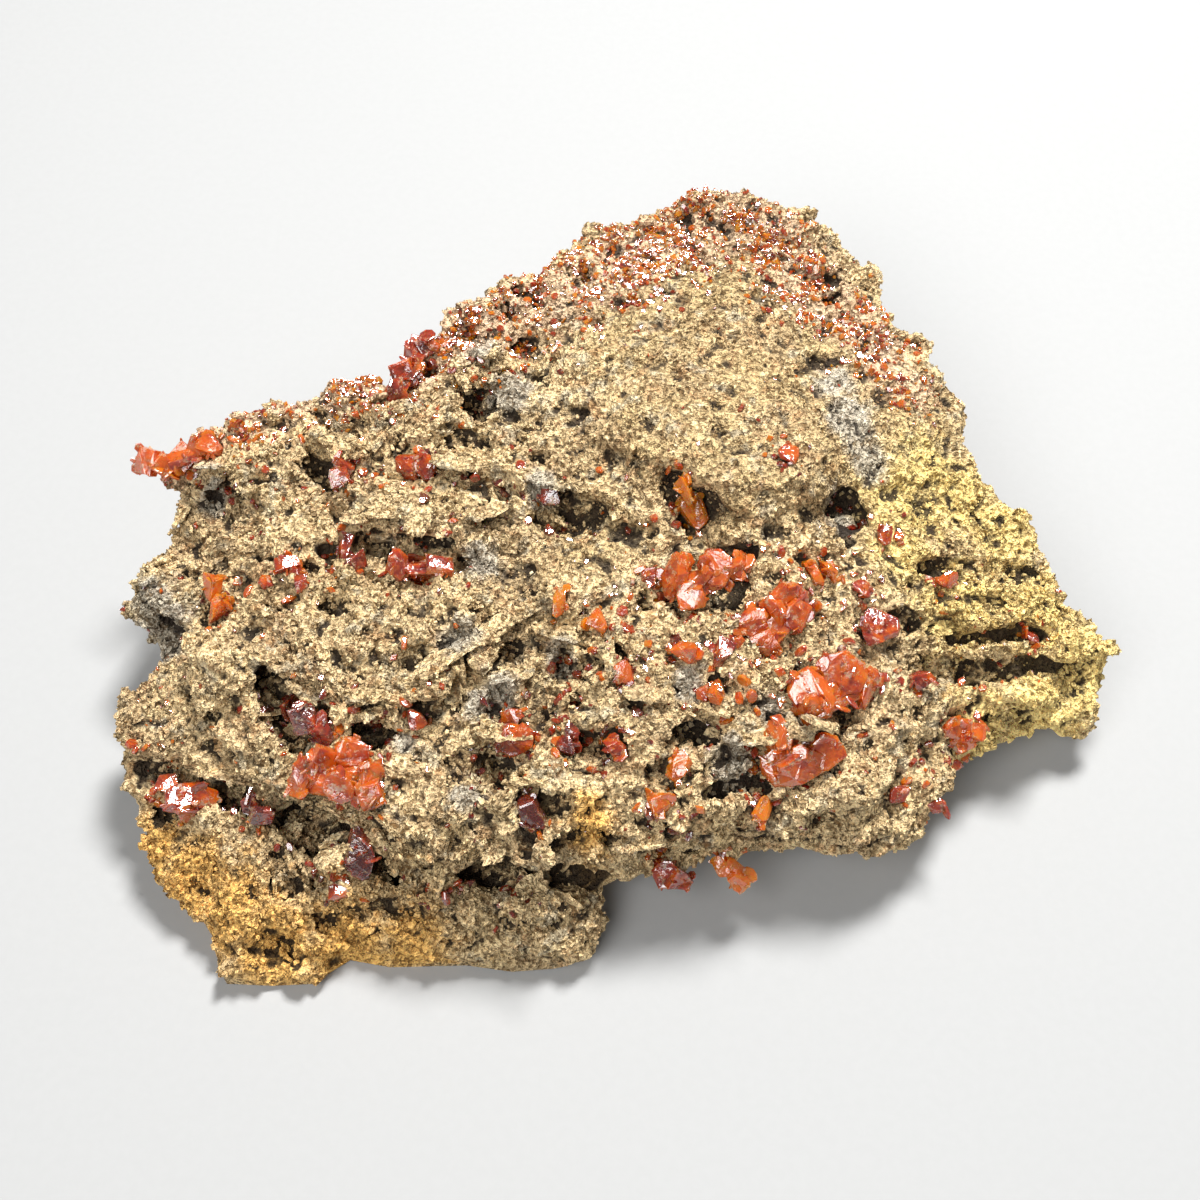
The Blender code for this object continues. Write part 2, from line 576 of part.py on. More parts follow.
def combine(target, others, operation):
    """Joins or cuts a list of solids with an exact Boolean, then removes them."""
    select_only(others[0])
    for other in others:
        other.select_set(True)
    if len(others) > 1:
        bpy.ops.object.join()
    cutter = bpy.context.view_layer.objects.active
    boolean = target.modifiers.new(operation.lower(), "BOOLEAN")
    boolean.operation = operation
    boolean.object = cutter
    boolean.solver = "EXACT"
    boolean.use_self = len(others) > 1
    apply_modifiers(target)
    bpy.data.objects.remove(cutter, do_unlink=True)


def one_by_one(target, others, operation):
    """Cuts or joins closed solids on a thinned mesh, whose folds the exact solver can't follow."""
    for other in others:
        boolean = target.modifiers.new(operation.lower(), "BOOLEAN")
        boolean.operation = operation
        boolean.object = other
        boolean.solver = "MANIFOLD"
        apply_modifiers(target)
        bpy.data.objects.remove(other, do_unlink=True)


def remesh(item, voxel):
    modifier = item.modifiers.new("remesh", "REMESH")
    modifier.mode = "VOXEL"
    modifier.voxel_size = voxel * MM
    apply_modifiers(item)


def grow_together(items, voxel):
    """Joins overlapping solids into the first of them, as one skin over them all."""
    select_only(items[0])
    for item in items:
        item.select_set(True)
    bpy.ops.object.join()
    remesh(items[0], voxel)


def surface_through(points):
    """The smooth surface z(x, y) that runs through the points: a thin plate spline."""
    points = np.array(points, float)
    count = len(points)

    def bend(distance):
        return distance**2 * np.log(np.maximum(distance, 1e-6))

    apart = np.linalg.norm(points[:, None, :2] - points[None, :, :2], axis=2)
    plane = np.column_stack([np.ones(count), points[:, :2]])
    system = np.zeros((count + 3, count + 3))
    system[:count, :count] = bend(apart) + np.eye(count) * 4.0
    system[:count, count:] = plane
    system[count:, :count] = plane.T
    weights = np.linalg.solve(system, np.concatenate([points[:, 2], np.zeros(3)]))

    def height(places):
        far = np.linalg.norm(places[:, None, :] - points[None, :, :2], axis=2)
        flat = np.column_stack([np.ones(len(places)), places])
        return bend(far) @ weights[:count] + flat @ weights[count:]

    return height


def rim_distance(places):
    """How far each place lies from the rim, and the height of the nearest rim point."""
    rim = np.array(RIM, float)
    nearest = np.full(len(places), np.inf)
    rim_height = np.zeros(len(places))
    for start, end in zip(rim, np.roll(rim, -1, axis=0)):
        along = end[:2] - start[:2]
        share = np.clip((places - start[:2]) @ along / (along @ along), 0, 1)
        distance = np.linalg.norm(places - start[:2] - share[:, None] * along, axis=1)
        closer = distance < nearest
        nearest[closer] = distance[closer]
        rim_height[closer] = (start[2] + share * (end[2] - start[2]))[closer]
    return nearest, rim_height


def smooth_step(value):
    value = np.clip(value, 0, 1)
    return value * value * (3 - 2 * value)


def press_between_surfaces(item):
    """Presses the extruded stock between the top surface and the underside."""
    mesh = item.data
    points = np.empty(len(mesh.vertices) * 3)
    mesh.vertices.foreach_get("co", points)
    points = points.reshape(-1, 3) / MM
    places = points[:, :2]
    share = np.clip(points[:, 2] / STOCK_HEIGHT + 0.5, 0, 1)

    rim_top = [(x, y, z + LIP_HALF_THICKNESS) for x, y, z in RIM]
    slab_rim = [point for point in rim_top if point[2] > 8.2]
    ledge_rim = [point for point in rim_top if point[2] < 9.2]
    slab = surface_through(list(SLAB_HEIGHTS) + slab_rim)(places)
    ledge = surface_through(list(LEDGE_HEIGHTS) + ledge_rim)(places)
    wall_x, wall_y = np.array(WALL_FOOT).T
    behind_wall = smooth_step(places[:, 1] - np.interp(places[:, 0], wall_x, wall_y) + 0.5)
    top = ledge + (slab - ledge) * behind_wall

    distance, rim_height = rim_distance(places)
    inset = np.minimum(FOOT_INSET, 1.5 + 0.9 * rim_height)
    rise = 1 - smooth_step(distance / inset)
    underside = FOOT_DEPTH + (rim_height - LIP_HALF_THICKNESS - FOOT_DEPTH) * rise
    points[:, 2] = underside + share * (top - underside)
    mesh.vertices.foreach_set("co", (points * MM).ravel())
    mesh.update()


def displace(item, name, kind, size, strength):
    """Pushes the surface in and out along its normals by a procedural texture."""
    texture = bpy.data.textures.new(name, kind)
    texture.noise_scale = size * MM
    if kind == "CLOUDS":
        texture.noise_depth = 2
    modifier = item.modifiers.new(name, "DISPLACE")
    modifier.texture = texture
    modifier.texture_coords = "LOCAL"
    modifier.strength = strength * MM
    modifier.mid_level = 0.5
    apply_modifiers(item)


def thin_out(item, triangles):
    """Reduces the mesh to about this many triangles."""
    modifier = item.modifiers.new("thin_out", "DECIMATE")
    faces = sum(len(polygon.vertices) - 2 for polygon in item.data.polygons)
    modifier.ratio = min(1.0, triangles / faces)
    modifier.use_collapse_triangulate = True
    apply_modifiers(item)


def keep_largest_body(item):
    """Deletes crumbs that came loose from the main body."""
    work = bmesh.new()
    work.from_mesh(item.data)
    left = set(work.verts)
    bodies = []
    while left:
        stack = [left.pop()]
        body = set(stack)
        while stack:
            for edge in stack.pop().link_edges:
                for vertex in edge.verts:
                    if vertex in left:
                        left.remove(vertex)
                        body.add(vertex)
                        stack.append(vertex)
        bodies.append(body)
    bodies.sort(key=len)
    loose = [vertex for body in bodies[:-1] for vertex in body]
    bmesh.ops.delete(work, geom=loose, context="VERTS")
    work.to_mesh(item.data)
    work.free()


def trim_flat(item, collection):
    """Cuts the underside off at the resting plane."""
    work = bmesh.new()
    place = Matrix.Translation((0, 0, -TRIM_BOX / 2 * MM)) @ Matrix.Scale(TRIM_BOX * MM, 4)
    bmesh.ops.create_cube(work, size=1, matrix=place)
    mesh = bpy.data.meshes.new("trim")
    work.to_mesh(mesh)
    work.free()
    one_by_one(item, [new_object("trim", mesh, collection)], "DIFFERENCE")


def make_matrix(parts, cutters):
    """The rock, from the smooth stock to the last small hollow."""
    rock = extruded_outline("matrix", [point[:2] for point in RIM], STOCK_HEIGHT, parts)
    remesh(rock, COARSE_VOXEL)
    press_between_surfaces(rock)
    beds = [
        plate("bed", (x, y, z), (length, width, thickness), turn, lean, cutters)
        for x, y, z, length, width, thickness, turn, lean in BEDS
    ]
    knobs = [
        ellipsoid("knob", (x, y, z), radii, 0, 0, cutters) for x, y, z, *radii in KNOBS
    ]
    grow_together([rock] + beds + knobs, FINE_VOXEL)
    displace(rock, "lumps", "CLOUDS", LUMP_SIZE, LUMP_STRENGTH)
    displace(rock, "crumbs", "CLOUDS", CRUMB_SIZE, CRUMB_STRENGTH)
    keep_largest_body(rock)

    crevices = [
        tube(name, radius, points, cutters) for name, (radius, points) in CREVICES.items()
    ]
    hollows = [
        ellipsoid("hollow", (x, y, z), (width, height, depth), turn, HOLLOW_LEAN, cutters)
        for x, y, z, width, height, depth, turn in HOLLOWS
    ]
    shells = [
        ellipsoid("shell", (x, y, z), (length, thickness, depth), turn, lean, cutters)
        for x, y, z, length, thickness, depth, turn, lean in SHELLS
    ]
    one_by_one(rock, crevices + hollows, "DIFFERENCE")
    one_by_one(rock, shells, "UNION")
    one_by_one(rock, pocket_cutters(ROUGH_CLEARANCE, cutters), "DIFFERENCE")
    remesh(rock, LAST_VOXEL)
    keep_largest_body(rock)
    thin_out(rock, MATRIX_TRIANGLES)
    trim_flat(rock, cutters)
    one_by_one(rock, pocket_cutters(GAP, cutters), "DIFFERENCE")
    keep_largest_body(rock)
    return rock


def tablet(work, crystal, clearance=0.0):
    """Adds one tabular crystal or, with a clearance, the grown box that it fits in."""
    x, y, z, length, width, thickness, lean, toward, spin = crystal
    sides = 8 if length >= FACETED_LENGTH and not clearance else 4
    corner = 1 / math.cos(math.pi / sides)
    present = len(work.verts)
    bmesh.ops.create_cone(
        work, cap_ends=True, segments=sides, radius1=corner, radius2=corner, depth=2,
        matrix=Matrix.Rotation(math.pi / sides, 4, "Z"),
    )
    work.verts.index_update()
    work.verts.ensure_lookup_table()
    if length >= BEVELLED_LENGTH and not clearance:
        upright = [
            edge for edge in work.edges
            if min(vertex.index for vertex in edge.verts) >= present
            and abs(edge.verts[0].co.z - edge.verts[1].co.z) > 1
        ]
        bmesh.ops.subdivide_edges(work, edges=upright, cuts=1)
        work.verts.ensure_lookup_table()
        for vertex in work.verts[present + 2 * sides:]:
            vertex.co.xy *= RIM_SWELL
    corners = work.verts[present:]
    half = [length / 2, width / 2, thickness / 2]
    for vertex in corners:
        for axis in range(3):
            vertex.co[axis] *= (half[axis] + clearance) * MM
    place = (
        Matrix.Translation(Vector((x, y, z)) * MM)
        @ Matrix.Rotation(math.radians(toward), 4, "Z")
        @ Matrix.Rotation(math.radians(lean), 4, "Y")
        @ Matrix.Rotation(math.radians(spin), 4, "Z")
    )
    bmesh.ops.transform(work, matrix=place, verts=corners)


def hull(name, points, collection):
    """The convex hull of the points."""
    work = bmesh.new()
    for point in points:
        work.verts.new(point)
    bmesh.ops.remove_doubles(work, verts=work.verts, dist=0.4 * MM)
    found = bmesh.ops.convex_hull(work, input=work.verts)
    bmesh.ops.delete(work, geom=found["geom_interior"], context="VERTS")
    bmesh.ops.recalc_face_normals(work, faces=work.faces)
    mesh = bpy.data.meshes.new(name)
    work.to_mesh(mesh)
    work.free()
    return new_object(name, mesh, collection)


def root_corners(crystals, growth=0.0):
    """The corners of the flat-topped root that carries a group, grown by this much."""
    reach = ROOT_HALF_WIDTH + growth
    rim = [
        Vector((x + reach * math.cos(turn), y + reach * math.sin(turn), z - ROOT_DEPTH + growth))
        for x, y, z, *rest in crystals
        for turn in (math.radians(30), math.radians(150), math.radians(270))
    ]
    middle = sum(rim, Vector()) / len(rim)
    middle.z = min(corner.z for corner in rim) - 1.5 * reach
    return [corner * MM for corner in [*rim, middle]]


def crystal_solids(name, crystals, collection):
    """One solid for each crystal of a group."""
    solids = []
    for crystal in crystals:
        work = bmesh.new()
        tablet(work, crystal)
        mesh = bpy.data.meshes.new(name)
        work.to_mesh(mesh)
        work.free()
        solids.append(new_object(name, mesh, collection))
    return solids


def merge_flat_faces(item):
    """Merges faces that lie in one plane, then splits all faces into triangles."""
    work = bmesh.new()
    work.from_mesh(item.data)
    bmesh.ops.remove_doubles(work, verts=work.verts, dist=0.01 * MM)
    bmesh.ops.dissolve_limit(
        work, angle_limit=math.radians(0.5), verts=work.verts, edges=work.edges
    )
    bmesh.ops.triangulate(work, faces=work.faces)
    work.to_mesh(item.data)
    work.free()


def grown_corners(crystals, clearance):
    """The corners of the crystals' boxes, each grown by the clearance of the pocket."""
    work = bmesh.new()
    for crystal in crystals:
        tablet(work, crystal, clearance)
    points = [vertex.co.copy() for vertex in work.verts]
    work.free()
    return points


def make_group(name, crystals, collection):
    """A group of crystals on the root that they grew from."""
    solids = crystal_solids(name, crystals, collection)
    if len(crystals) > 1:
        root = hull(name + "_root", root_corners(crystals), collection)
        combine(solids[0], solids[1:] + [root], "UNION")
        merge_flat_faces(solids[0])
    solids[0].name = name
    return solids[0]


def group_pocket(name, crystals, clearance, collection):
    """The cutter of a group's pocket in the rock."""
    points = grown_corners(crystals, clearance)
    if len(crystals) > 1:
        points += root_corners(crystals, clearance)
    return [hull(name + "_pocket", points, collection)]


def point_along(points, share):
    """The place at this share of the way along a bent line."""
    points = [Vector(point) for point in points]
    lengths = [(end - start).length for start, end in zip(points, points[1:])]
    left = share * sum(lengths)
    for start, end, length in zip(points, points[1:], lengths):
        if left <= length:
            return start.lerp(end, left / length)
        left -= length
    return points[-1]


def crust_crystals(name, points, count, sizes):
    """The small tablets of a crust, strewn along its base."""
    wander = random.Random(len(name) * count)
    crystals = []
    for index in range(count):
        middle = point_along(points, (index + 0.5) / count)
        length = wander.uniform(*sizes)
        crystals.append((
            middle.x + wander.uniform(-1, 1) * CRUST_SPREAD,
            middle.y + wander.uniform(-1, 1) * CRUST_SPREAD,
            middle.z + wander.uniform(0.1, 0.7),
            length, length * wander.uniform(0.75, 1), CRUST_THICKNESS,
            wander.uniform(15, 75), wander.uniform(-160, -20), wander.uniform(0, 90),
        ))
    return crystals


def crust_base(name, points, clearance, collection):
    """The bent base of a crust, longer and wider by the clearance."""
    points = [Vector((x, y, z - ROOT_DEPTH)) for x, y, z in points]
    first = points[0] + (points[0] - points[1]).normalized() * clearance
    last = points[-1] + (points[-1] - points[-2]).normalized() * clearance
    line = [first, *points[1:-1], last]
    return tube(name, CRUST_BASE_RADIUS + 1.4 * clearance, line, collection, resolution=0)


def make_crust(name, points, count, sizes, collection):
    """A crust of small crystals on a bent base."""
    crystals = crust_crystals(name, points, count, sizes)
    base = crust_base(name, points, 0, collection)
    combine(base, crystal_solids(name + "_crystal", crystals, collection), "UNION")
    merge_flat_faces(base)
    return base


def crust_bed(name, points, count, sizes, clearance, collection):
    """The cutters of a crust's bed in the rock."""
    crystals = crust_crystals(name, points, count, sizes)
    return [crust_base(name + "_bed", points, clearance, collection)] + [
        hull(name + "_pocket", grown_corners([crystal], clearance), collection)
        for crystal in crystals
    ]


def pocket_cutters(clearance, collection):
    """The cutters of the rock's pockets, one for every group and every piece of a crust."""
    pockets = []
    for name, crystals in CRYSTAL_GROUPS.items():
        pockets += group_pocket(name, crystals, clearance, collection)
    for name, (points, count, sizes) in CRUSTS.items():
        pockets += crust_bed(name, points, count, sizes, clearance, collection)
    return pockets


def make_crystals(collection):
    groups = [
        make_group(name, crystals, collection) for name, crystals in CRYSTAL_GROUPS.items()
    ]
    crusts = [
        make_crust(name, points, count, sizes, collection)
        for name, (points, count, sizes) in CRUSTS.items()
    ]
    return groups + crusts


def main():
    clear_scene()
    parts = new_collection("Wulfenite on matrix")
    cutters = new_collection("Cutters")
    cutters.hide_render = True
    rock = make_matrix(parts, cutters)
    crystals = make_crystals(parts)
    limonite = principled("limonite matrix", LIMONITE, 0.85)
    rock.data.materials.clear()
    rock.data.materials.append(limonite)
    for crystal in crystals:
        wulfenite = principled(crystal.name, ORANGE_RED, 0.12, transmission=0.35, ior=2.3)
        crystal.data.materials.clear()
        crystal.data.materials.append(wulfenite)
    for item in [rock, *crystals]:
        print(item.name, sum(len(face.vertices) - 2 for face in item.data.polygons))


main()
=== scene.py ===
"""Wulfenite crystals on a crumbling limonite matrix, dressed over the CAD frame."""

import json
import logging
import math
from collections.abc import Iterator
from contextlib import contextmanager
from dataclasses import dataclass, field
from enum import Enum, IntEnum
from itertools import product

import bpy
import numpy as np
from mathutils import Matrix, Vector, kdtree

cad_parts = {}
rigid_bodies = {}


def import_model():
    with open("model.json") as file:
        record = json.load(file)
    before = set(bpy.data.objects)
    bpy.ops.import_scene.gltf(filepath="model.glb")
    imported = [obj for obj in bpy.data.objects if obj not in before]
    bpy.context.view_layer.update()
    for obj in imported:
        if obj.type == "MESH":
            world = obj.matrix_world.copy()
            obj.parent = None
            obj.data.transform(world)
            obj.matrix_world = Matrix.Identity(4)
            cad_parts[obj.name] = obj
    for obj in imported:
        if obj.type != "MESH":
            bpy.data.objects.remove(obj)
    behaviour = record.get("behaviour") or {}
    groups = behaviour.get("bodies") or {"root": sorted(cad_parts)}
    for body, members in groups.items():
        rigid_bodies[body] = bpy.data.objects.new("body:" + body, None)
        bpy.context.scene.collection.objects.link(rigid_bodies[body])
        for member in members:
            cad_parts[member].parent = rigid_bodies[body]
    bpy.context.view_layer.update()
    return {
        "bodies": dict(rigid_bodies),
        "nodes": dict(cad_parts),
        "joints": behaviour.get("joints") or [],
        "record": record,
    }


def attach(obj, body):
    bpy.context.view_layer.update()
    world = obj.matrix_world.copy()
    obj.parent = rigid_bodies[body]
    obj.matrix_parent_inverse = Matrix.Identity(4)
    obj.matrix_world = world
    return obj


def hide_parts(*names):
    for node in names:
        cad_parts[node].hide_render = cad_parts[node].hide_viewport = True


MM = 0.001
BODY = "root"
LIMONITE_MATERIAL = "limonite_grains"
WULFENITE_MATERIAL = "wulfenite_glass"
MERGE_DISTANCE = 0.002
CRYSTAL_POINT_SPACING = 0.4
CRYSTAL_POINT_SEED = 2
LOG = logging.getLogger("wulfenite_on_matrix")

Points = np.ndarray


# ---------------------------------------------------------------- where things are, in millimetres

GOLD_PLACES = (
    (34.6, 3.0, 6.5), (38.3, 8.2, 5.0), (42.1, 5.3, 6.0), (47.0, 2.0, 6.0), (50.6, -7.9, 6.5),
    (40.8, -8.3, 6.5), (57.0, -13.0, 6.0), (51.5, -18.5, 6.5), (44.0, -21.6, 5.0), (34.0, -4.0, 4.5),
)
OCHRE_PLACES = (
    (-55.1, -35.5, 4.5), (-50.0, -39.0, 5.0), (-45.0, -42.5, 5.5), (-40.0, -46.5, 6.0),
    (-31.6, -47.0, 6.0), (-24.0, -46.5, 4.5), (-3.5, -36.5, 2.6),
)
GREY_PLACES = (
    (-17.4, 22.7, 3.2), (-13.4, 15.9, 4.0), (28.0, 11.5, 4.2), (26.5, 17.1, 3.4), (30.3, 7.2, 3.6),
    (-17.4, -34.7, 2.6), (-57.0, -7.3, 4.2), (-54.8, -10.9, 4.4), (-16.0, -24.0, 2.8),
    (-13.8, -22.2, 2.6), (-7.0, -18.4, 2.4), (7.8, -22.5, 2.6), (12.3, -30.4, 3.4),
    (-9.6, 2.9, 2.6), (-25.0, -27.8, 2.0), (17.0, -24.3, 2.6), (-18.5, -16.8, 3.0),
    (-50.1, 5.6, 2.4), (-16.5, -6.5, 3.4), (26.8, 0.4, 3.0),
)
# where the stone's tone is lowered: partly darker stone, and partly painted shade, as on the toe under the
# overhang
DARKER_AND_PAINTED_SHADE_PLACES = (
    (-56.5, -8.5, 4.6), (-54.0, -12.5, 4.0), (-8.0, -24.5, 4.0), (-14.5, -31.0, 3.6), (13.0, -31.0, 3.8),
    (-17.5, 17.5, 4.0), (-24.0, -40.0, 4.0), (-16.0, -41.0, 4.0), (-10.0, -38.5, 3.0), (-18.0, 2.5, 3.6),
    (-7.0, 1.5, 3.4), (26.8, 0.6, 3.2), (-50.0, 4.0, 3.6), (40.0, -12.5, 3.4), (46.0, -12.0, 3.4),
    (-37.0, -22.0, 4.0), (-44.0, -31.0, 4.6), (-35.0, -34.0, 4.2), (-27.0, -39.0, 3.6), (-4.0, -40.5, 3.0),
    (-3.0, 29.0, 2.6), (-8.5, 26.5, 2.4), (19.0, 30.0, 2.6), (26.0, 8.0, 2.4),
)
# where the stone's tone is raised: a few paler streaks, and mostly painted light on faces that the lamps
# leave darker
PALER_AND_PAINTED_LIGHT_PLACES = (
    (50.0, -19.5, 6.0), (43.0, -22.0, 5.0), (33.0, -26.0, 5.0), (-33.0, 0.0, 4.0), (-22.0, -29.5, 4.0),
    (0.0, -36.0, 4.0), (-45.0, -17.0, 4.0), (4.0, -12.0, 4.0), (-47.0, -23.0, 4.5), (-40.0, 8.5, 4.5),
    (30.0, -20.0, 4.5), (31.0, 17.5, 5.0), (28.5, 11.5, 3.6),
)
RICH_PLACES = (
    (20.0, -9.0, 5.0), (12.0, -14.0, 5.0), (24.5, -15.5, 5.0), (17.0, -22.0, 5.0), (8.0, -8.0, 4.5),
    (21.0, -29.0, 4.5), (-5.0, -24.0, 4.5), (4.0, -18.0, 4.0), (-27.0, -30.0, 4.5), (-34.0, -22.0, 3.5),
    (30.0, -27.0, 4.0), (-30.0, 4.0, 3.5),
)
GLITTER_PLACES = (
    (21.0, -9.0, 6.0), (27.0, -11.0, 5.0), (10.0, -18.0, 5.0), (27.0, -18.0, 5.0), (17.0, -15.0, 5.0),
    (-2.0, -10.0, 5.0), (30.0, 20.0, 5.0), (20.0, 36.0, 6.0), (8.0, 38.0, 6.0), (-6.0, 33.0, 6.0),
    (-20.0, 26.0, 5.0), (-44.0, 8.0, 5.0), (-28.0, 8.0, 5.0), (-54.0, -22.0, 5.0), (44.0, -14.0, 6.0),
)
CRUST_PLACES = (
    (-56.5, 9.8, 3.2), (-51.5, 11.2, 3.6), (-46.0, 13.2, 3.4), (-40.5, 15.8, 3.2), (-35.0, 18.2, 3.6),
    (-29.5, 19.8, 5.0), (-25.0, 22.5, 5.4), (-20.8, 26.0, 6.0), (-15.5, 28.6, 6.4), (-10.5, 30.5, 6.6),
    (-6.0, 32.0, 6.8), (-1.4, 34.5, 6.8), (3.0, 38.0, 6.6), (8.5, 40.5, 6.8), (14.0, 43.0, 6.8),
    (19.5, 41.5, 6.8), (23.5, 36.5, 6.4), (25.6, 31.0, 5.6), (29.5, 27.0, 5.4), (33.0, 22.5, 5.0),
    (36.5, 18.5, 3.6),
)
PALE_PLACES = (
    (4.0, 22.0, 12.0), (14.0, 28.0, 11.0), (16.0, 14.0, 12.0), (4.0, 8.0, 9.0), (28.0, 3.0, 9.0),
    (24.0, 22.0, 9.0), (36.0, 12.0, 9.0), (14.0, 2.0, 8.0), (-4.0, -4.0, 6.0),
)
ZONES = {
    "gold": GOLD_PLACES,
    "ochre": OCHRE_PLACES,
    "grey": GREY_PLACES,
    "crust": CRUST_PLACES,
    "pale": PALE_PLACES,
}
BRIDGES = (
    # x, y, z of the middle, and the half lengths
    ((-55.4, 8.9, 20.5), (4.2, 1.4, 1.1)), ((-53.4, 9.8, 21.2), (3.4, 1.4, 1.2)),
    ((9.0, 2.9, 27.0), (2.8, 1.8, 2.5)),
)
CAVITY_PLACES = (
    (-50.1, 5.6, 22.5), (-44.0, 0.8, 24.5), (-40.0, -22.5, 18.0), (-37.6, -23.5, 17.6),
    (-28.4, -25.9, 19.0), (-23.4, 8.8, 25.0), (-33.7, 6.1, 24.5), (-29.7, -2.7, 22.5),
    (-32.4, -4.7, 23.0), (-20.3, -5.8, 23.6), (-15.8, 2.3, 24.0), (-7.2, -1.0, 26.1),
    (-12.0, 4.0, 27.3), (-19.2, 3.1, 26.4), (-5.6, -18.6, 22.6), (-6.9, -22.9, 23.8),
    (-13.9, -25.2, 20.0), (-13.3, -29.9, 19.0), (-13.6, -33.7, 20.0), (-1.3, -28.3, 21.6),
    (27.1, 1.4, 24.0), (9.1, -26.9, 20.4), (16.2, -30.6, 17.6), (20.6, -25.9, 20.0),
    (-18.0, 17.7, 27.0), (-36.9, -36.6, 11.6), (-43.7, -30.6, 10.8), (-31.3, -37.7, 10.6),
    (-20.6, -41.2, 10.6), (-11.5, -41.2, 10.0), (36.6, -24.9, 13.6), (2.1, -24.5, 24.0),
    (4.9, -37.2, 17.0),
)
SMALL_CRYSTAL_PLACES = (
    (-25.7, -18.3, 26.2), (-26.4, -19.3, 24.4), (-2.4, 3.8, 29.6), (4.0, -2.8, 28.7),
    (-20.7, -20.1, 23.6), (-17.3, 20.5, 29.8), (-38.0, -7.6, 23.0), (-34.0, -9.9, 24.5),
    (-41.9, -8.1, 23.9), (-29.7, 6.1, 26.5), (-20.0, -1.1, 26.2), (-57.9, -24.6, 13.5),
    (-55.7, -24.8, 13.4), (-55.9, -6.0, 18.3), (-38.9, -10.3, 23.0), (-5.3, -18.2, 24.7),
    (4.1, -8.9, 24.1), (2.3, -8.4, 25.4), (9.4, -7.8, 23.5), (26.5, -16.1, 23.6),
    (29.1, -20.0, 18.7), (33.2, -29.2, 13.5), (8.7, -36.0, 20.1), (13.4, -24.3, 24.1),
    (20.5, -17.8, 24.2), (4.4, -34.0, 18.4), (-27.5, -31.7, 16.3), (-26.9, -30.4, 17.5),
    (-25.6, -32.4, 17.7), (-29.8, -32.9, 16.0), (-2.4, -27.2, 19.9), (-10.4, -26.6, 18.8),
    (-11.5, -22.0, 22.3), (-19.4, 10.4, 28.8), (-33.2, 13.2, 27.2), (-39.1, 10.3, 26.9),
    (-44.5, -9.0, 22.5), (18.0, -20.5, 24.0), (24.0, -22.5, 20.5), (-3.0, -31.0, 20.5),
)
GLINT_PLACES = (
    (19.5, 4.9, 31.6, 1.3), (9.0, -19.2, 25.5, 1.4), (9.9, -18.0, 25.6, 1.1), (4.3, -8.7, 24.1, 1.0),
    (-2.4, -15.8, 23.0, 0.8), (2.2, -13.5, 25.9, 0.7), (21.6, -10.1, 24.8, 1.3),
    (20.9, -9.5, 26.1, 1.0), (50.4, -9.9, 13.5, 1.6), (39.3, -5.9, 19.9, 1.3),
    (40.9, -17.6, 16.7, 1.4), (43.3, -17.4, 15.5, 1.1), (53.9, -5.2, 17.2, 1.0),
    (-41.8, -14.8, 22.5, 1.0), (-55.5, -12.8, 13.1, 1.2), (-53.0, -11.9, 16.5, 0.9),
    (-34.3, -21.3, 23.3, 0.9), (-21.6, -22.7, 24.7, 0.8), (28.3, -9.0, 23.1, 1.4),
    (29.4, -13.2, 21.0, 1.0), (28.6, -10.8, 21.5, 1.1), (-10.7, -1.3, 26.5, 1.0),
    (13.2, -16.1, 23.5, 1.0), (16.3, -14.3, 22.7, 1.0), (-6.3, -31.9, 23.1, 0.7),
    (-5.0, 38.6, 27.6, 1.0), (-1.1, 37.9, 29.2, 1.4), (-18.8, 25.0, 28.5, 1.0),
    (-46.0, 14.0, 25.1, 1.0), (-2.4, 31.5, 30.6, 1.1), (-57.2, -25.4, 13.6, 1.1),
    (-39.6, -5.4, 23.4, 2.0), (30.5, -11.8, 20.9, 2.6), (28.6, -8.8, 23.2, 1.8), (32.1, -0.6, 23.4, 1.4),
    (22.0, -7.4, 23.0, 1.7), (12.0, -18.0, 24.5, 1.9), (15.7, -20.6, 25.8, 1.3), (-31.2, 7.0, 24.4, 1.3),
)
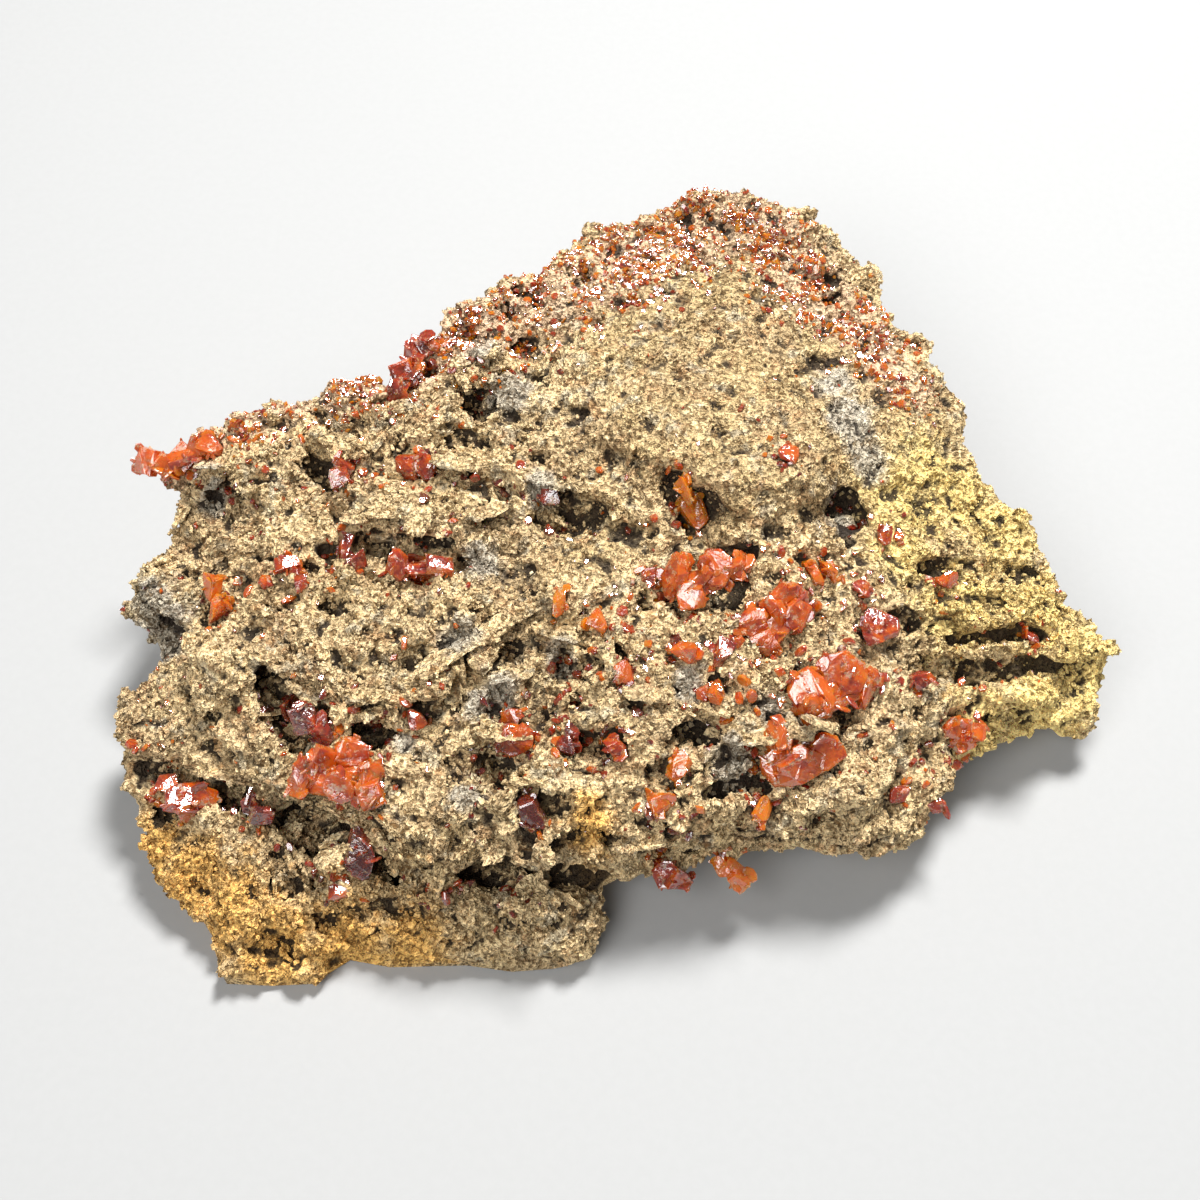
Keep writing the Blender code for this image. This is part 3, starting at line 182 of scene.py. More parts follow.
CREVICES = (
    # radius, and the places that it runs through just under the skin
    (2.2, ((-61, -26.8, 12.5), (-52, -28.6, 11.9), (-44, -30.0, 11.7), (-38, -31.8, 11.4),
           (-33, -34.4, 11.2), (-26, -37.0, 10.7), (-20, -38.2, 10.3), (-11, -38.4, 9.5),
           (-4, -38.6, 8.7), (2, -40.2, 7.9))),
    (1.0, ((33, -11.6, 22.4), (38, -11.4, 20.2), (42.1, -10.9, 17.8), (46.7, -10.7, 16.2),
           (52, -9.8, 14.2))),
    (1.2, ((32, -15.6, 20.8), (36.7, -16.0, 18.0), (42.1, -15.1, 15.8), (47.3, -14.0, 14.6),
           (54, -12.8, 12.6))),
    (0.6, ((35.6, -8.6, 22.2), (39.4, -8.0, 20.2), (44.4, -7.2, 19.2))),
    (0.45, ((37.0, -3.9, 22.2), (40.0, -2.9, 21.2), (43.5, -3.2, 19.8))),
    (1.3, ((-51.2, 5.5, 21.8), (-48.4, 3.4, 23.4), (-46.3, 2.3, 23.9), (-43.9, 1.2, 24.6))),
    (1.0, ((-36.5, -3.4, 24.9), (-33.6, -4.4, 23.2), (-29.2, -6.4, 22.9), (-25.5, -6.6, 21.6),
           (-19.5, -8.1, 23.4))),
    (1.3, ((-42.5, -18.0, 22.0), (-39.5, -19.6, 19.0), (-37.0, -21.0, 17.4), (-33.8, -23.4, 17.2),
           (-29.2, -25.1, 17.6), (-25.5, -24.6, 18.4))),
    (1.1, ((-25.4, -25.2, 21.6), (-22.3, -23.9, 22.4), (-18.9, -22.2, 23.0), (-15.0, -20.0, 23.8),
           (-11.6, -17.4, 24.2))),
    (0.9, ((-21.8, -15.0, 27.0), (-19.8, -16.8, 25.2), (-18.2, -18.3, 24.6), (-16.7, -20.7, 24.9))),
    (0.9, ((-23.0, 4.0, 25.8), (-20.2, 4.4, 27.2), (-18.0, 5.9, 27.4))),
    (1.0, ((-17.4, 3.6, 26.8), (-15.6, 1.6, 25.4), (-13.4, -2.0, 26.3))),
    (1.4, ((-10.5, 4.4, 27.2), (-6.6, 2.3, 26.8), (-3.6, -0.6, 27.6), (-1.2, -2.6, 28.0), (1.8, -4.5, 27.8))),
    (1.0, ((6.8, -0.8, 26.5), (10.0, -4.2, 27.6), (12.9, -5.3, 27.0), (16.4, -6.6, 27.4))),
    (1.3, ((26.4, 4.0, 26.2), (27.9, 1.0, 24.2), (26.8, -3.9, 25.6))),
    (0.7, ((18.0, -6.6, 27.4), (21.2, -6.0, 26.0), (24.8, -5.4, 24.2))),
    (1.0, ((-9.8, -21.7, 23.2), (-6.4, -19.9, 22.8), (-3.5, -19.6, 23.6), (-0.2, -20.3, 24.1))),
    (1.0, ((-7.0, -27.9, 21.2), (-3.5, -27.4, 21.9), (0.8, -27.0, 23.0))),
    (1.2, ((-16.4, -29.3, 19.4), (-13.2, -31.0, 18.8), (-10.2, -33.6, 20.4), (-6.8, -36.1, 21.2))),
    (1.1, ((3.2, -31.6, 22.0), (6.0, -31.0, 21.0), (8.8, -30.5, 21.4), (12.2, -29.2, 21.6))),
    (0.9, ((8.2, -34.3, 20.6), (11.2, -32.8, 20.2), (14.2, -31.0, 18.2), (17.2, -31.0, 16.6))),
    (1.2, ((16.4, -26.3, 20.2), (19.7, -25.4, 19.4), (22.7, -25.7, 19.0), (25.2, -26.5, 19.2))),
    (0.8, ((15.5, -35.0, 14.0), (19.5, -35.4, 12.2), (23.1, -35.8, 11.2), (27.0, -36.3, 11.0))),
    (0.9, ((-55.2, -8.6, 16.4), (-51.8, -12.4, 18.2), (-49.0, -17.0, 21.6), (-46.0, -20.3, 23.2))),
    (1.5, ((-17.5, -38.7, 8.8), (-12.9, -39.3, 9.4), (-7.5, -40.1, 12.2), (-2.0, -39.4, 12.4))),
    (1.1, ((-16.2, -36.9, 21.2), (-12.9, -38.2, 19.5), (-9.1, -38.6, 17.9), (-4.2, -38.6, 16.7))),
    (0.6, ((-2.8, -7.3, 27.6), (-0.1, -9.6, 27.2), (2.6, -9.6, 25.4))),
    (0.7, ((-23.6, -12.1, 26.5), (-20.7, -14.3, 26.7), (-18.0, -15.7, 26.4))),
    (0.6, ((23.4, 20.2, 30.6), (25.4, 20.6, 30.4), (28.0, 20.2, 30.0))),
    (0.9, ((-20.8, 12.2, 29.0), (-18.0, 16.2, 27.6), (-14.2, 15.5, 29.1))),
)
LIPS = (
    # x, y, z, length, width, turn, tilt: thin curled plates that stand over the hollows
    (-17.8, -18.6, 25.0, 13.0, 3.6, 34, 38), (-12.0, -14.6, 25.4, 7.0, 3.0, 30, 30),
    (-27.5, -23.6, 22.6, 7.5, 3.4, 8, 34), (-23.4, -22.6, 23.2, 4.5, 2.6, -20, 30),
    (-9.0, 2.8, 28.2, 6.0, 3.0, -32, 26), (-16.0, -1.0, 26.6, 5.0, 2.8, 18, 34),
    (-20.0, 5.6, 27.6, 5.0, 2.6, -12, 28), (-24.0, 10.2, 28.0, 4.4, 2.6, 10, 30),
    (3.0, -24.8, 24.9, 5.5, 2.6, -8, 34), (16.0, -28.2, 21.8, 7.0, 3.2, 12, 38),
    (10.6, -25.2, 23.2, 4.6, 2.6, -18, 30), (-30.0, -34.8, 14.2, 9.0, 3.2, -22, 36),
    (-38.5, -31.0, 13.6, 6.0, 2.8, -28, 32), (-46.0, -29.0, 13.6, 7.0, 2.8, -10, 34),
    (-20.0, -37.2, 13.4, 8.0, 2.8, -10, 30), (-10.0, -37.8, 12.6, 7.0, 2.8, 4, 30),
    (24.5, 4.2, 29.4, 4.5, 2.4, 12, 30), (-27.0, -0.8, 26.4, 7.0, 2.8, -6, 30),
    (-33.0, 8.2, 26.4, 4.6, 2.4, 0, 30), (-49.5, 7.2, 25.4, 4.6, 2.4, 10, 28),
    (-12.5, -21.6, 23.8, 4.8, 2.6, 16, 40), (-7.0, -17.0, 25.0, 4.6, 2.6, -10, 34),
    (-13.4, -28.2, 22.2, 5.6, 2.8, -12, 30), (-1.6, -26.6, 23.4, 4.6, 2.4, 14, 30),
    (20.8, -24.0, 22.6, 3.8, 2.2, -10, 30), (-40.0, -18.8, 22.4, 5.0, 2.6, -32, 30),
    (-36.4, -22.4, 21.4, 4.2, 2.4, -38, 34), (2.0, -38.6, 15.4, 5.2, 2.4, 6, 28),
)


# ---------------------------------------------------------------- small shared tools


def deselect_all() -> None:
    """Leaves nothing selected, so that an operator acts on what is chosen next."""
    bpy.ops.object.select_all(action="DESELECT")


def choose(obj: bpy.types.Object) -> None:
    """Makes one object the only one selected and the active one.

    Args:
        obj: The object that the next operator acts on.
    """
    deselect_all()
    obj.select_set(True)
    bpy.context.view_layer.objects.active = obj


@contextmanager
def all_selected(obj: bpy.types.Object) -> Iterator[None]:
    """Opens a piece for editing with everything selected, for as long as the block runs.

    Args:
        obj: The piece.

    Yields:
        Nothing.
    """
    choose(obj)
    bpy.ops.object.mode_set(mode="EDIT")
    bpy.ops.mesh.select_all(action="SELECT")
    yield
    bpy.ops.object.mode_set(mode="OBJECT")


def apply_modifier(obj: bpy.types.Object, kind: str, **settings: object) -> None:
    """Adds a modifier with its settings and applies it.

    Args:
        obj: The piece that is shaped.
        kind: Blender's name for the modifier type.
        **settings: The modifier's settings by name.
    """
    choose(obj)
    modifier = obj.modifiers.new(kind.lower(), kind)
    for name, value in settings.items():
        setattr(modifier, name, value)
    bpy.ops.object.modifier_apply(modifier=modifier.name)


def merged_copy(node: str, name: str) -> bpy.types.Object:
    """Copies a CAD node's mesh to a piece of its own, with its loose triangles joined up.

    Args:
        node: The CAD node's name.
        name: The new piece's name.

    Returns:
        The new piece, closed as the solid is.
    """
    source = bpy.data.objects[node]
    piece = bpy.data.objects.new(name, source.data.copy())
    bpy.context.scene.collection.objects.link(piece)
    piece.data.materials.clear()
    with all_selected(piece):
        bpy.ops.mesh.remove_doubles(threshold=MERGE_DISTANCE * MM)
        bpy.ops.mesh.customdata_custom_splitnormals_clear()
    return piece


def points_of(obj: bpy.types.Object) -> Points:
    """Reads the vertices of a mesh object.

    Args:
        obj: The mesh object.

    Returns:
        Their places in millimetres, one row each.
    """
    found = np.empty(len(obj.data.vertices) * 3, np.float32)
    obj.data.vertices.foreach_get("co", found)
    return found.reshape(-1, 3).astype(float) / MM


def set_points(obj: bpy.types.Object, points: Points) -> None:
    """Moves the vertices of a mesh object to these places in millimetres."""
    obj.data.vertices.foreach_set("co", (points * MM).astype(np.float32).ravel())
    obj.data.update()


def normals_of(obj: bpy.types.Object) -> Points:
    """Reads the vertex normals of a mesh object.

    Args:
        obj: The mesh object.

    Returns:
        The normals, one row each.
    """
    found = np.empty(len(obj.data.vertices) * 3, np.float32)
    obj.data.vertex_normals.foreach_get("vector", found)
    return found.reshape(-1, 3).astype(float)


def triangles_of(obj: bpy.types.Object) -> Points:
    """Reads the triangles of a mesh object.

    Args:
        obj: The mesh object.

    Returns:
        Their vertex numbers, one row each.
    """
    obj.data.calc_loop_triangles()
    found = np.empty(len(obj.data.loop_triangles) * 3, np.int32)
    obj.data.loop_triangles.foreach_get("vertices", found)
    return found.reshape(-1, 3)


def edges_of(obj: bpy.types.Object) -> Points:
    """Reads the edges of a mesh object.

    Args:
        obj: The mesh object.

    Returns:
        Pairs of vertex numbers.
    """
    found = np.empty(len(obj.data.edges) * 2, np.int32)
    obj.data.edges.foreach_get("vertices", found)
    return found.reshape(-1, 2)


def paint(obj: bpy.types.Object, name: str, values: Points) -> None:
    """Stores one number for each vertex under a name that the material reads.

    Args:
        obj: The piece that carries the numbers.
        name: The attribute's name.
        values: One number for each vertex.
    """
    layer = obj.data.attributes.get(name) or obj.data.attributes.new(name, "FLOAT", "POINT")
    layer.data.foreach_set("value", np.asarray(values, np.float32))


def mesh_piece(name: str, points: Points, faces: Points) -> bpy.types.Object:
    """Joins many placed copies into one mesh object.

    Args:
        name: The piece's name.
        points: The vertices in millimetres.
        faces: Triangles as vertex numbers.

    Returns:
        The new piece.
    """
    mesh = bpy.data.meshes.new(name)
    mesh.vertices.add(len(points))
    mesh.vertices.foreach_set("co", (points * MM).astype(np.float32).ravel())
    mesh.loops.add(len(faces) * 3)
    mesh.loops.foreach_set("vertex_index", faces.astype(np.int32).ravel())
    mesh.polygons.add(len(faces))
    mesh.polygons.foreach_set("loop_start", np.arange(0, len(faces) * 3, 3, dtype=np.int32))
    mesh.update(calc_edges=True)
    mesh.shade_flat()
    piece = bpy.data.objects.new(name, mesh)
    bpy.context.scene.collection.objects.link(piece)
    return piece


@dataclass
class Heap:
    """Placed shapes that are collected to become one piece."""

    points: list = field(default_factory=list)
    faces: list = field(default_factory=list)
    size: int = 0

    def add(self, points: Points, faces: Points) -> None:
        """Adds a shape, or many copies of one.

        Args:
            points: Its vertices in millimetres.
            faces: Its triangles, numbered from its own first vertex.
        """
        self.points.append(points)
        self.faces.append(faces + self.size)
        self.size += len(points)

    def piece(self, name: str) -> bpy.types.Object:
        """Makes everything collected into one piece of this name."""
        return mesh_piece(name, np.concatenate(self.points), np.concatenate(self.faces))


def unit(rows: Points) -> Points:
    """Scales each row to a length of one."""
    return rows / np.linalg.norm(rows, axis=1)[:, None]


def smooth_step(low: float, high: float, values: Points) -> Points:
    """Rises smoothly from 0 at low to 1 at high."""
    t = np.clip((values - low) / (high - low), 0, 1)
    return t * t * (3 - 2 * t)


def near(points: Points, places: tuple, reach: float = 1.0) -> Points:
    """How close each point is, seen from above, to any of the places.

    Args:
        points: Points in millimetres.
        places: Rows of x, y and radius.
        reach: What the radii are multiplied by.

    Returns:
        A number from 0 far away to 1 at a place, for each point.
    """
    best = np.zeros(len(points))
    for x, y, radius in places:
        away = (points[:, 0] - x) ** 2 + (points[:, 1] - y) ** 2
        best = np.maximum(best, np.exp(-away / (radius * reach) ** 2))
    return best


def points_within(corners: Points, chance: Points, count: int, rng: np.random.Generator) -> tuple:
    """Picks random points on triangles.

    Args:
        corners: The three corners of each triangle.
        chance: How likely each triangle is against the others.
        count: How many points are picked.
        rng: The seeded source of chance.

    Returns:
        The points and the rows of the triangles that they lie on.
    """
    rows = rng.choice(len(chance), count, p=chance / chance.sum())
    first, second = rng.random((2, count))
    over = first + second > 1
    first[over], second[over] = 1 - first[over], 1 - second[over]
    corner = corners[rows]
    places = corner[:, 0] + first[:, None] * (corner[:, 1] - corner[:, 0])
    return places + second[:, None] * (corner[:, 2] - corner[:, 0]), rows


def points_over(obj: bpy.types.Object, spacing: float, rng: np.random.Generator) -> Points:
    """Spreads points evenly over the surface of a piece.

    Args:
        obj: The piece.
        spacing: About how far apart they are, in millimetres.
        rng: The seeded source of chance.

    Returns:
        The points.
    """
    corners = points_of(obj)[triangles_of(obj)]
    areas = np.linalg.norm(np.cross(corners[:, 1] - corners[:, 0], corners[:, 2] - corners[:, 0]), axis=1) / 2
    return points_within(corners, areas, int(areas.sum() / spacing**2), rng)[0]


def tree_of(points: Points) -> kdtree.KDTree:
    """Makes a search tree of points.

    Args:
        points: The points, one row each.

    Returns:
        The tree, which finds points by their row.
    """
    tree = kdtree.KDTree(len(points))
    for row, point in enumerate(points):
        tree.insert(point, row)
    tree.balance()
    return tree


def nearest_distance(points: Points, targets: Points) -> Points:
    """The distance from each point to the nearest target, in millimetres.

    Args:
        points: The points that are measured from.
        targets: The points that are measured to.

    Returns:
        One distance for each point.
    """
    tree = tree_of(targets)
    return np.array([tree.find(point)[2] for point in points])


class Pattern(IntEnum):
    """Which of the independent noise patterns each use reads."""

    BLOCKS = 3
    CRUMBS = 5
    GRAINS = 9
    SWELLING = 20
    PITS = 33
    RAGGED_EDGES = 37
    BEDS = 41
    GROOVES = 47
    BLOCK_BEND = 60
    CRUMB_BEND = 70
    FINEST = 81
    CLUMPS = 91
    CRUST = 95
    CREVICE_EDGES = 97
    CORNERS = 300
    TONE_BY_PLACE = 410
    TONE_BY_FACE = 420


class StoneNoise:
    """Repeatable lattice noise, the same on every run."""

    @staticmethod
    def lattice(cells: Points, seed: int) -> Points:
        """A fixed number from 0 to 1 for each whole-numbered cell.

        Args:
            cells: Cell corners, one row each.
            seed: Which of the independent patterns is read.

        Returns:
            One number for each cell.
        """
        x, y, z = cells.astype(np.int64).T
        mixed = (x * 73856093) ^ (y * 19349663) ^ (z * 83492791) ^ (seed * 26544357)
        mixed = (mixed ^ (mixed >> 13)) * 1274126177
        mixed = (mixed ^ (mixed >> 16)) * 974634777
        return ((mixed ^ (mixed >> 15)) & 0xFFFFFF) / 0xFFFFFF

    @classmethod
    def soft(cls, points: Points, size: float, seed: int) -> Points:
        """Smooth noise from -1 to 1 with lumps of about the given size.

        Args:
            points: Points in millimetres.
            size: The spacing of the lattice in millimetres.
            seed: Which pattern is read.

        Returns:
            One number for each point.
        """
        spots = points / size + seed * 7.31
        base = np.floor(spots)
        part = spots - base
        part = part * part * (3 - 2 * part)
        total = np.zeros(len(points))
        for corner in product((0, 1), repeat=3):
            weight = np.prod(np.where(np.array(corner), part, 1 - part), axis=1)
            total += weight * cls.lattice(base + np.array(corner), seed)
        return total * 2 - 1

    @classmethod
    def layered(cls, points: Points, size: float, octaves: int, seed: int) -> Points:
        """Several sizes of soft noise added together, each half the last.

        Args:
            points: Points in millimetres.
            size: The largest lattice spacing in millimetres.
            octaves: How many sizes are added.
            seed: Which pattern is read.

        Returns:
            One number from about -1 to 1 for each point.
        """
        total = np.zeros(len(points))
        weight, weights = 1.0, 0.0
        for octave in range(octaves):
            total += weight * cls.soft(points, size / 2**octave, seed + octave)
            weights += weight
            weight *= 0.55
        return total / weights * 1.5

    @classmethod
    def blocks(cls, points: Points, size: float, seed: int) -> tuple:
        """Broken blocks, each with a flat face that leans its own way.

        Args:
            points: Points in millimetres.
            size: The size of a block in millimetres.
            seed: Which pattern is read.

        Returns:
            The height of the block's face, from about -1 to 1, and how far its edge is.
        """
        spots = points / size + seed * 3.17
        base = np.floor(spots)
        first = np.full(len(points), 9.0)
        second = first.copy()
        own_cell, own_step = base.copy(), base.copy()
        for offset in product((-1, 0, 1), repeat=3):
            cell = base + np.array(offset)
            middle = cell + np.stack([cls.lattice(cell, seed + 11 * k) for k in (1, 2, 3)], axis=1)
            step = spots - middle
            away = np.linalg.norm(step, axis=1)
            closer = (away < first)[:, None]
            own_cell, own_step = np.where(closer, cell, own_cell), np.where(closer, step, own_step)
            second = np.where(away < first, first, np.minimum(second, away))
            first = np.minimum(first, away)
        lean = np.stack([cls.lattice(own_cell, seed + 11 * k) for k in (4, 5, 6)], axis=1) * 2 - 1
        level = cls.lattice(own_cell, seed + 77) * 2 - 1
        return 1.3 * (own_step * lean).sum(axis=1) + 0.55 * level, second - first


def shifts(points: Points, size: float, seed: int) -> Points:
    """Small soft shifts along x, y and z that keep a shape or a pattern from looking regular.

    Args:
        points: Points in millimetres.
        size: The spacing of the noise in millimetres.
        seed: Which pattern is read first.

    Returns:
        Three numbers from -1 to 1 for each point.
    """
    return np.stack([StoneNoise.soft(points, size, seed + k) for k in range(3)], axis=1)


# ---------------------------------------------------------------- finishes


class NodeBench:
    """Builds a shader node tree with short calls."""

    def __init__(self, tree: bpy.types.NodeTree) -> None:
        """Clears the tree and keeps it.

        Args:
            tree: The node tree that is filled.
        """
        self.tree = tree
        tree.nodes.clear()

    def add(self, kind: str, settings: dict | None = None, **inputs: object) -> bpy.types.Node:
        """Adds one node, with its settings and its inputs.

        Args:
            kind: Blender's name for the node type.
            settings: Properties of the node itself.
            **inputs: Input sockets by number, as i0, i1, or by name with _ for a space. A socket
                value links it, and anything else is set on it.

        Returns:
            The new node.
        """
        node = self.tree.nodes.new(kind)
        for name, value in (settings or {}).items():
            setattr(node, name, value)
        for name, value in inputs.items():
            if name[0] == "i" and name[1:].isdigit():
                socket = node.inputs[int(name[1:])]
            else:
                socket = node.inputs[name.replace("_", " ")]
            if isinstance(value, bpy.types.NodeSocket):
                self.tree.links.new(value, socket)
            else:
                socket.default_value = value
        return node

    def math(self, operation: str, *values: object) -> bpy.types.NodeSocket:
        """A Math node's result."""
        inputs = {f"i{index}": value for index, value in enumerate(values)}
        return self.add("ShaderNodeMath", {"operation": operation}, **inputs).outputs[0]

    def ramp(self, value: object, low: float, high: float, to: tuple = (0.0, 1.0)) -> bpy.types.NodeSocket:
        """A smooth step of a value between two ends.

        Args:
            value: The socket that is read.
            low: Where the step starts.
            high: Where the step ends.
            to: What it gives at the two ends.

        Returns:
            The stepped value.
        """
        node = self.add(
            "ShaderNodeMapRange",
            {"interpolation_type": "SMOOTHSTEP"},
            i0=value, i1=low, i2=high, i3=to[0], i4=to[1],
        )
        return node.outputs[0]

    def mix(self, factor: object, first: object, second: object, blend: str = "MIX") -> bpy.types.NodeSocket:
        """Mixes two colours.

        Args:
            factor: How much of the second is taken.
            first: A colour or a socket.
            second: A colour or a socket.
            blend: The kind of mix.

        Returns:
            The mixed colour.
        """
        node = self.add("ShaderNodeMix", {"data_type": "RGBA", "blend_type": blend})
        sockets = (node.inputs[0], node.inputs[6], node.inputs[7])
        for socket, value in zip(sockets, (factor, first, second)):
            if isinstance(value, bpy.types.NodeSocket):
                self.tree.links.new(value, socket)
            elif isinstance(value, tuple):
                socket.default_value = (*value, 1.0)
            else:
                socket.default_value = value
        return node.outputs[2]

    def attribute(self, name: str) -> bpy.types.NodeSocket:
        """The number that the piece carries under this name."""
        return self.add("ShaderNodeAttribute", {"attribute_name": name}).outputs["Fac"]

    def noise(
        self, place: object, size: float, detail: float = 3.0, rough: float = 0.6
    ) -> bpy.types.NodeSocket:
        """Soft noise with lumps of a size in millimetres.

        Args:
            place: The coordinate socket.
            size: The size of the lumps in millimetres.
            detail: How many finer layers are added.
            rough: How strong the finer layers are.

        Returns:
            The noise, from 0 to 1.
        """
        settings = {"Scale": 1 / (size * MM), "Detail": detail, "Roughness": rough}
        return self.add("ShaderNodeTexNoise", None, Vector=place, **settings).outputs[0]


def grain_group() -> bpy.types.NodeTree:
    """The shared effect of packed limonite grains, as a node group, with painted light on their crests and
    painted shade between them.

    Returns:
        A group that takes a place and a grain size and gives a tone, which holds that painted light and shade
        and a random tone, and a height.
    """
    name = "packed_grains"
    if name in bpy.data.node_groups:
        return bpy.data.node_groups[name]
    group = bpy.data.node_groups.new(name, "ShaderNodeTree")
    group.interface.new_socket("Place", in_out="INPUT", socket_type="NodeSocketVector")
    group.interface.new_socket("Grains per metre", in_out="INPUT", socket_type="NodeSocketFloat")
    group.interface.new_socket("Tone", in_out="OUTPUT", socket_type="NodeSocketFloat")
    group.interface.new_socket("Height", in_out="OUTPUT", socket_type="NodeSocketFloat")
    bench = NodeBench(group)
    given = bench.add("NodeGroupInput")
    scaled = bench.add(
        "ShaderNodeVectorMath", {"operation": "SCALE"}, i0=given.outputs[0], Scale=given.outputs[1]
    ).outputs[0]
    wobble = bench.add("ShaderNodeTexNoise", None, Vector=scaled, Scale=0.9, Detail=2.0)
    moved = bench.add(
        "ShaderNodeVectorMath", {"operation": "MULTIPLY_ADD"},
        i0=wobble.outputs[1], i1=(2.2, 2.2, 2.2), i2=scaled,
    )
    bent = bench.add("ShaderNodeMix", {"data_type": "VECTOR"}, i0=0.45, i4=scaled, i5=moved.outputs[0])
    worms = bench.add(
        "ShaderNodeTexNoise", None, Vector=bent.outputs[1], Scale=1.0, Detail=2.0, Roughness=0.55
    ).outputs[0]
    fine = bench.add(
        "ShaderNodeTexNoise", None, Vector=scaled, Scale=2.8, Detail=3.0, Roughness=0.65
    ).outputs[0]
    # A grain's crest lies where the winding noise passes its middle level, and its body where it is high.
    ridge = bench.ramp(bench.math("ABSOLUTE", bench.math("SUBTRACT", worms, 0.52)), 0.075, 0.008)
    mound = bench.ramp(worms, 0.3, 0.62)
    height = bench.math("MULTIPLY_ADD", ridge, 0.5, mound)
    height = bench.math("ADD", height, bench.math("MULTIPLY", fine, 0.6))
    # Painted light and shade: the crests and bodies of the grains are made lighter than the gaps between
    # them.
    shade = bench.math("MULTIPLY_ADD", mound, 0.3, 0.3)
    shade = bench.math("ADD", bench.math("MULTIPLY", ridge, 0.42), shade)
    tone = bench.math("MULTIPLY", shade, bench.ramp(fine, 0.3, 0.7, (0.7, 1.3)))
    bench.add("NodeGroupOutput", None, i0=tone, i1=height)
    return group


@dataclass(frozen=True)
class LimoniteFinish:
    """Granular earthy limonite, from pale sand to ochre, grey and red-brown, with painted shade in its
    hollows and between its grains and painted light on the grain crests.
    """

    pale: tuple = (0.455, 0.315, 0.145)
    brown: tuple = (0.585, 0.42, 0.215)
    gold: tuple = (0.72, 0.52, 0.18)
    ochre: tuple = (0.70, 0.385, 0.095)
    grey: tuple = (0.37, 0.325, 0.25)
    red_brown: tuple = (0.56, 0.37, 0.235)
    # painted shade: the near black that fills the hollows and crevices
    painted_hollow_shade: tuple = (0.034, 0.021, 0.013)
    rust: tuple = (0.43, 0.24, 0.11)
    earth: tuple = (0.41, 0.275, 0.14)
    dun: tuple = (0.37, 0.315, 0.215)
    cream: tuple = (0.80, 0.61, 0.32)
    # painted shade between the grains and painted light on their crests, which also carry the grains' random
    # tone
    gap_shade_and_dark_grain_tint: tuple = (0.30, 0.215, 0.12)
    crest_light_and_pale_grain_tint: tuple = (2.1, 2.2, 2.35)
    grain_size: float = 0.62
    coarse_size: float = 1.9
    blotch_size: float = 2.2
    bump_depth: float = 0.5
    roughness: tuple = (0.96, 0.78)
    shine: float = 0.3

    def material(self, name: str) -> bpy.types.Material:
        """Builds the limonite material.

        Args:
            name: The material's name.

        Returns:
            The material, which reads the piece's own masks and Object coordinates.
        """
        material = bpy.data.materials.new(name)
        material.use_nodes = True
        bench = NodeBench(material.node_tree)
        place = bench.add("ShaderNodeTexCoord").outputs["Object"]
        group = {"node_tree": grain_group()}
        grains = bench.add("ShaderNodeGroup", group, i0=place, i1=1 / (self.grain_size * MM))
        coarse = bench.add("ShaderNodeGroup", group, i0=place, i1=1 / (self.coarse_size * MM))
        blotches = bench.noise(place, self.blotch_size)

        def broken(mask: str, low: float, high: float) -> bpy.types.NodeSocket:
            """A mask of the piece with its edge broken up by the stone's own patches."""
            spread = bench.math("ADD", bench.attribute(mask), bench.math("MULTIPLY_ADD", blotches, 1.1, -0.5))
            return bench.ramp(spread, low, high)

        stains = (
            # colour, size in millimetres, where it starts and is full, strength, detail, roughness
            (self.pale, 7.0, 0.42, 0.62, 0.45, 4.0, 0.6),
            (self.earth, 9.0, 0.48, 0.62, 0.55, 3.0, 0.6),
            (self.dun, 3.1, 0.54, 0.66, 0.65, 3.0, 0.6),
            (self.rust, self.blotch_size, 0.55, 0.68, 0.7, 3.0, 0.6),
            (self.cream, 1.7, 0.54, 0.68, 0.7, 4.0, 0.7),
        )
        zones = (
            # mask, colour, where it starts and is full, strength
            ("gold", self.gold, 0.15, 0.95, 0.9),
            ("ochre", self.ochre, 0.15, 0.95, 0.9),
            ("grey", self.grey, 0.4, 0.9, 0.8),
            ("crust", self.red_brown, 0.3, 0.9, 0.6),
        )
        base = bench.mix(broken("pale", 0.15, 0.95), self.brown, self.pale)
        for colour, size, low, high, strength, detail, rough in stains:
            stain = bench.ramp(bench.noise(place, size, detail, rough), low, high, (0.0, strength))
            base = bench.mix(stain, base, colour)
        for mask, colour, low, high, strength in zones:
            base = bench.mix(bench.math("MULTIPLY", broken(mask, low, high), strength), base, colour)
        tone = bench.math("MULTIPLY", grains.outputs[0], bench.ramp(coarse.outputs[0], 0.1, 0.8, (0.7, 1.2)))
        tone = bench.math("MULTIPLY", tone, bench.math("MULTIPLY_ADD", bench.attribute("tone"), 0.9, 0.75))
        tone = bench.ramp(tone, 0.1, 1.0)
        # The colour is scaled from painted shade in the grain gaps to painted light on the crests; the same
        # scale carries random grain tone and the tone mask.
        base = bench.mix(1.0, base, bench.mix(tone, self.gap_shade_and_dark_grain_tint, self.crest_light_and_pale_grain_tint), "MULTIPLY")
        # Painted shade: the hollows and the crevices are darkened towards near black.
        hollow = bench.ramp(bench.attribute("hollow"), 0.15, 0.74, (0.0, 0.94))
        base = bench.mix(hollow, base, self.painted_hollow_shade)
        height = bench.math("ADD", grains.outputs[1], bench.math("MULTIPLY", coarse.outputs[1], 1.2))
        bump = bench.add("ShaderNodeBump", None, Strength=1.0, Distance=self.bump_depth * MM, Height=height)
        rough = bench.ramp(grains.outputs[0], 0.0, 1.2, self.roughness)
        shader = bench.add(
            "ShaderNodeBsdfPrincipled", None,
            Base_Color=base, Roughness=rough, Normal=bump.outputs[0], Specular_IOR_Level=self.shine,
        )
        bench.add("ShaderNodeOutputMaterial", None, Surface=shader.outputs[0])
        return material


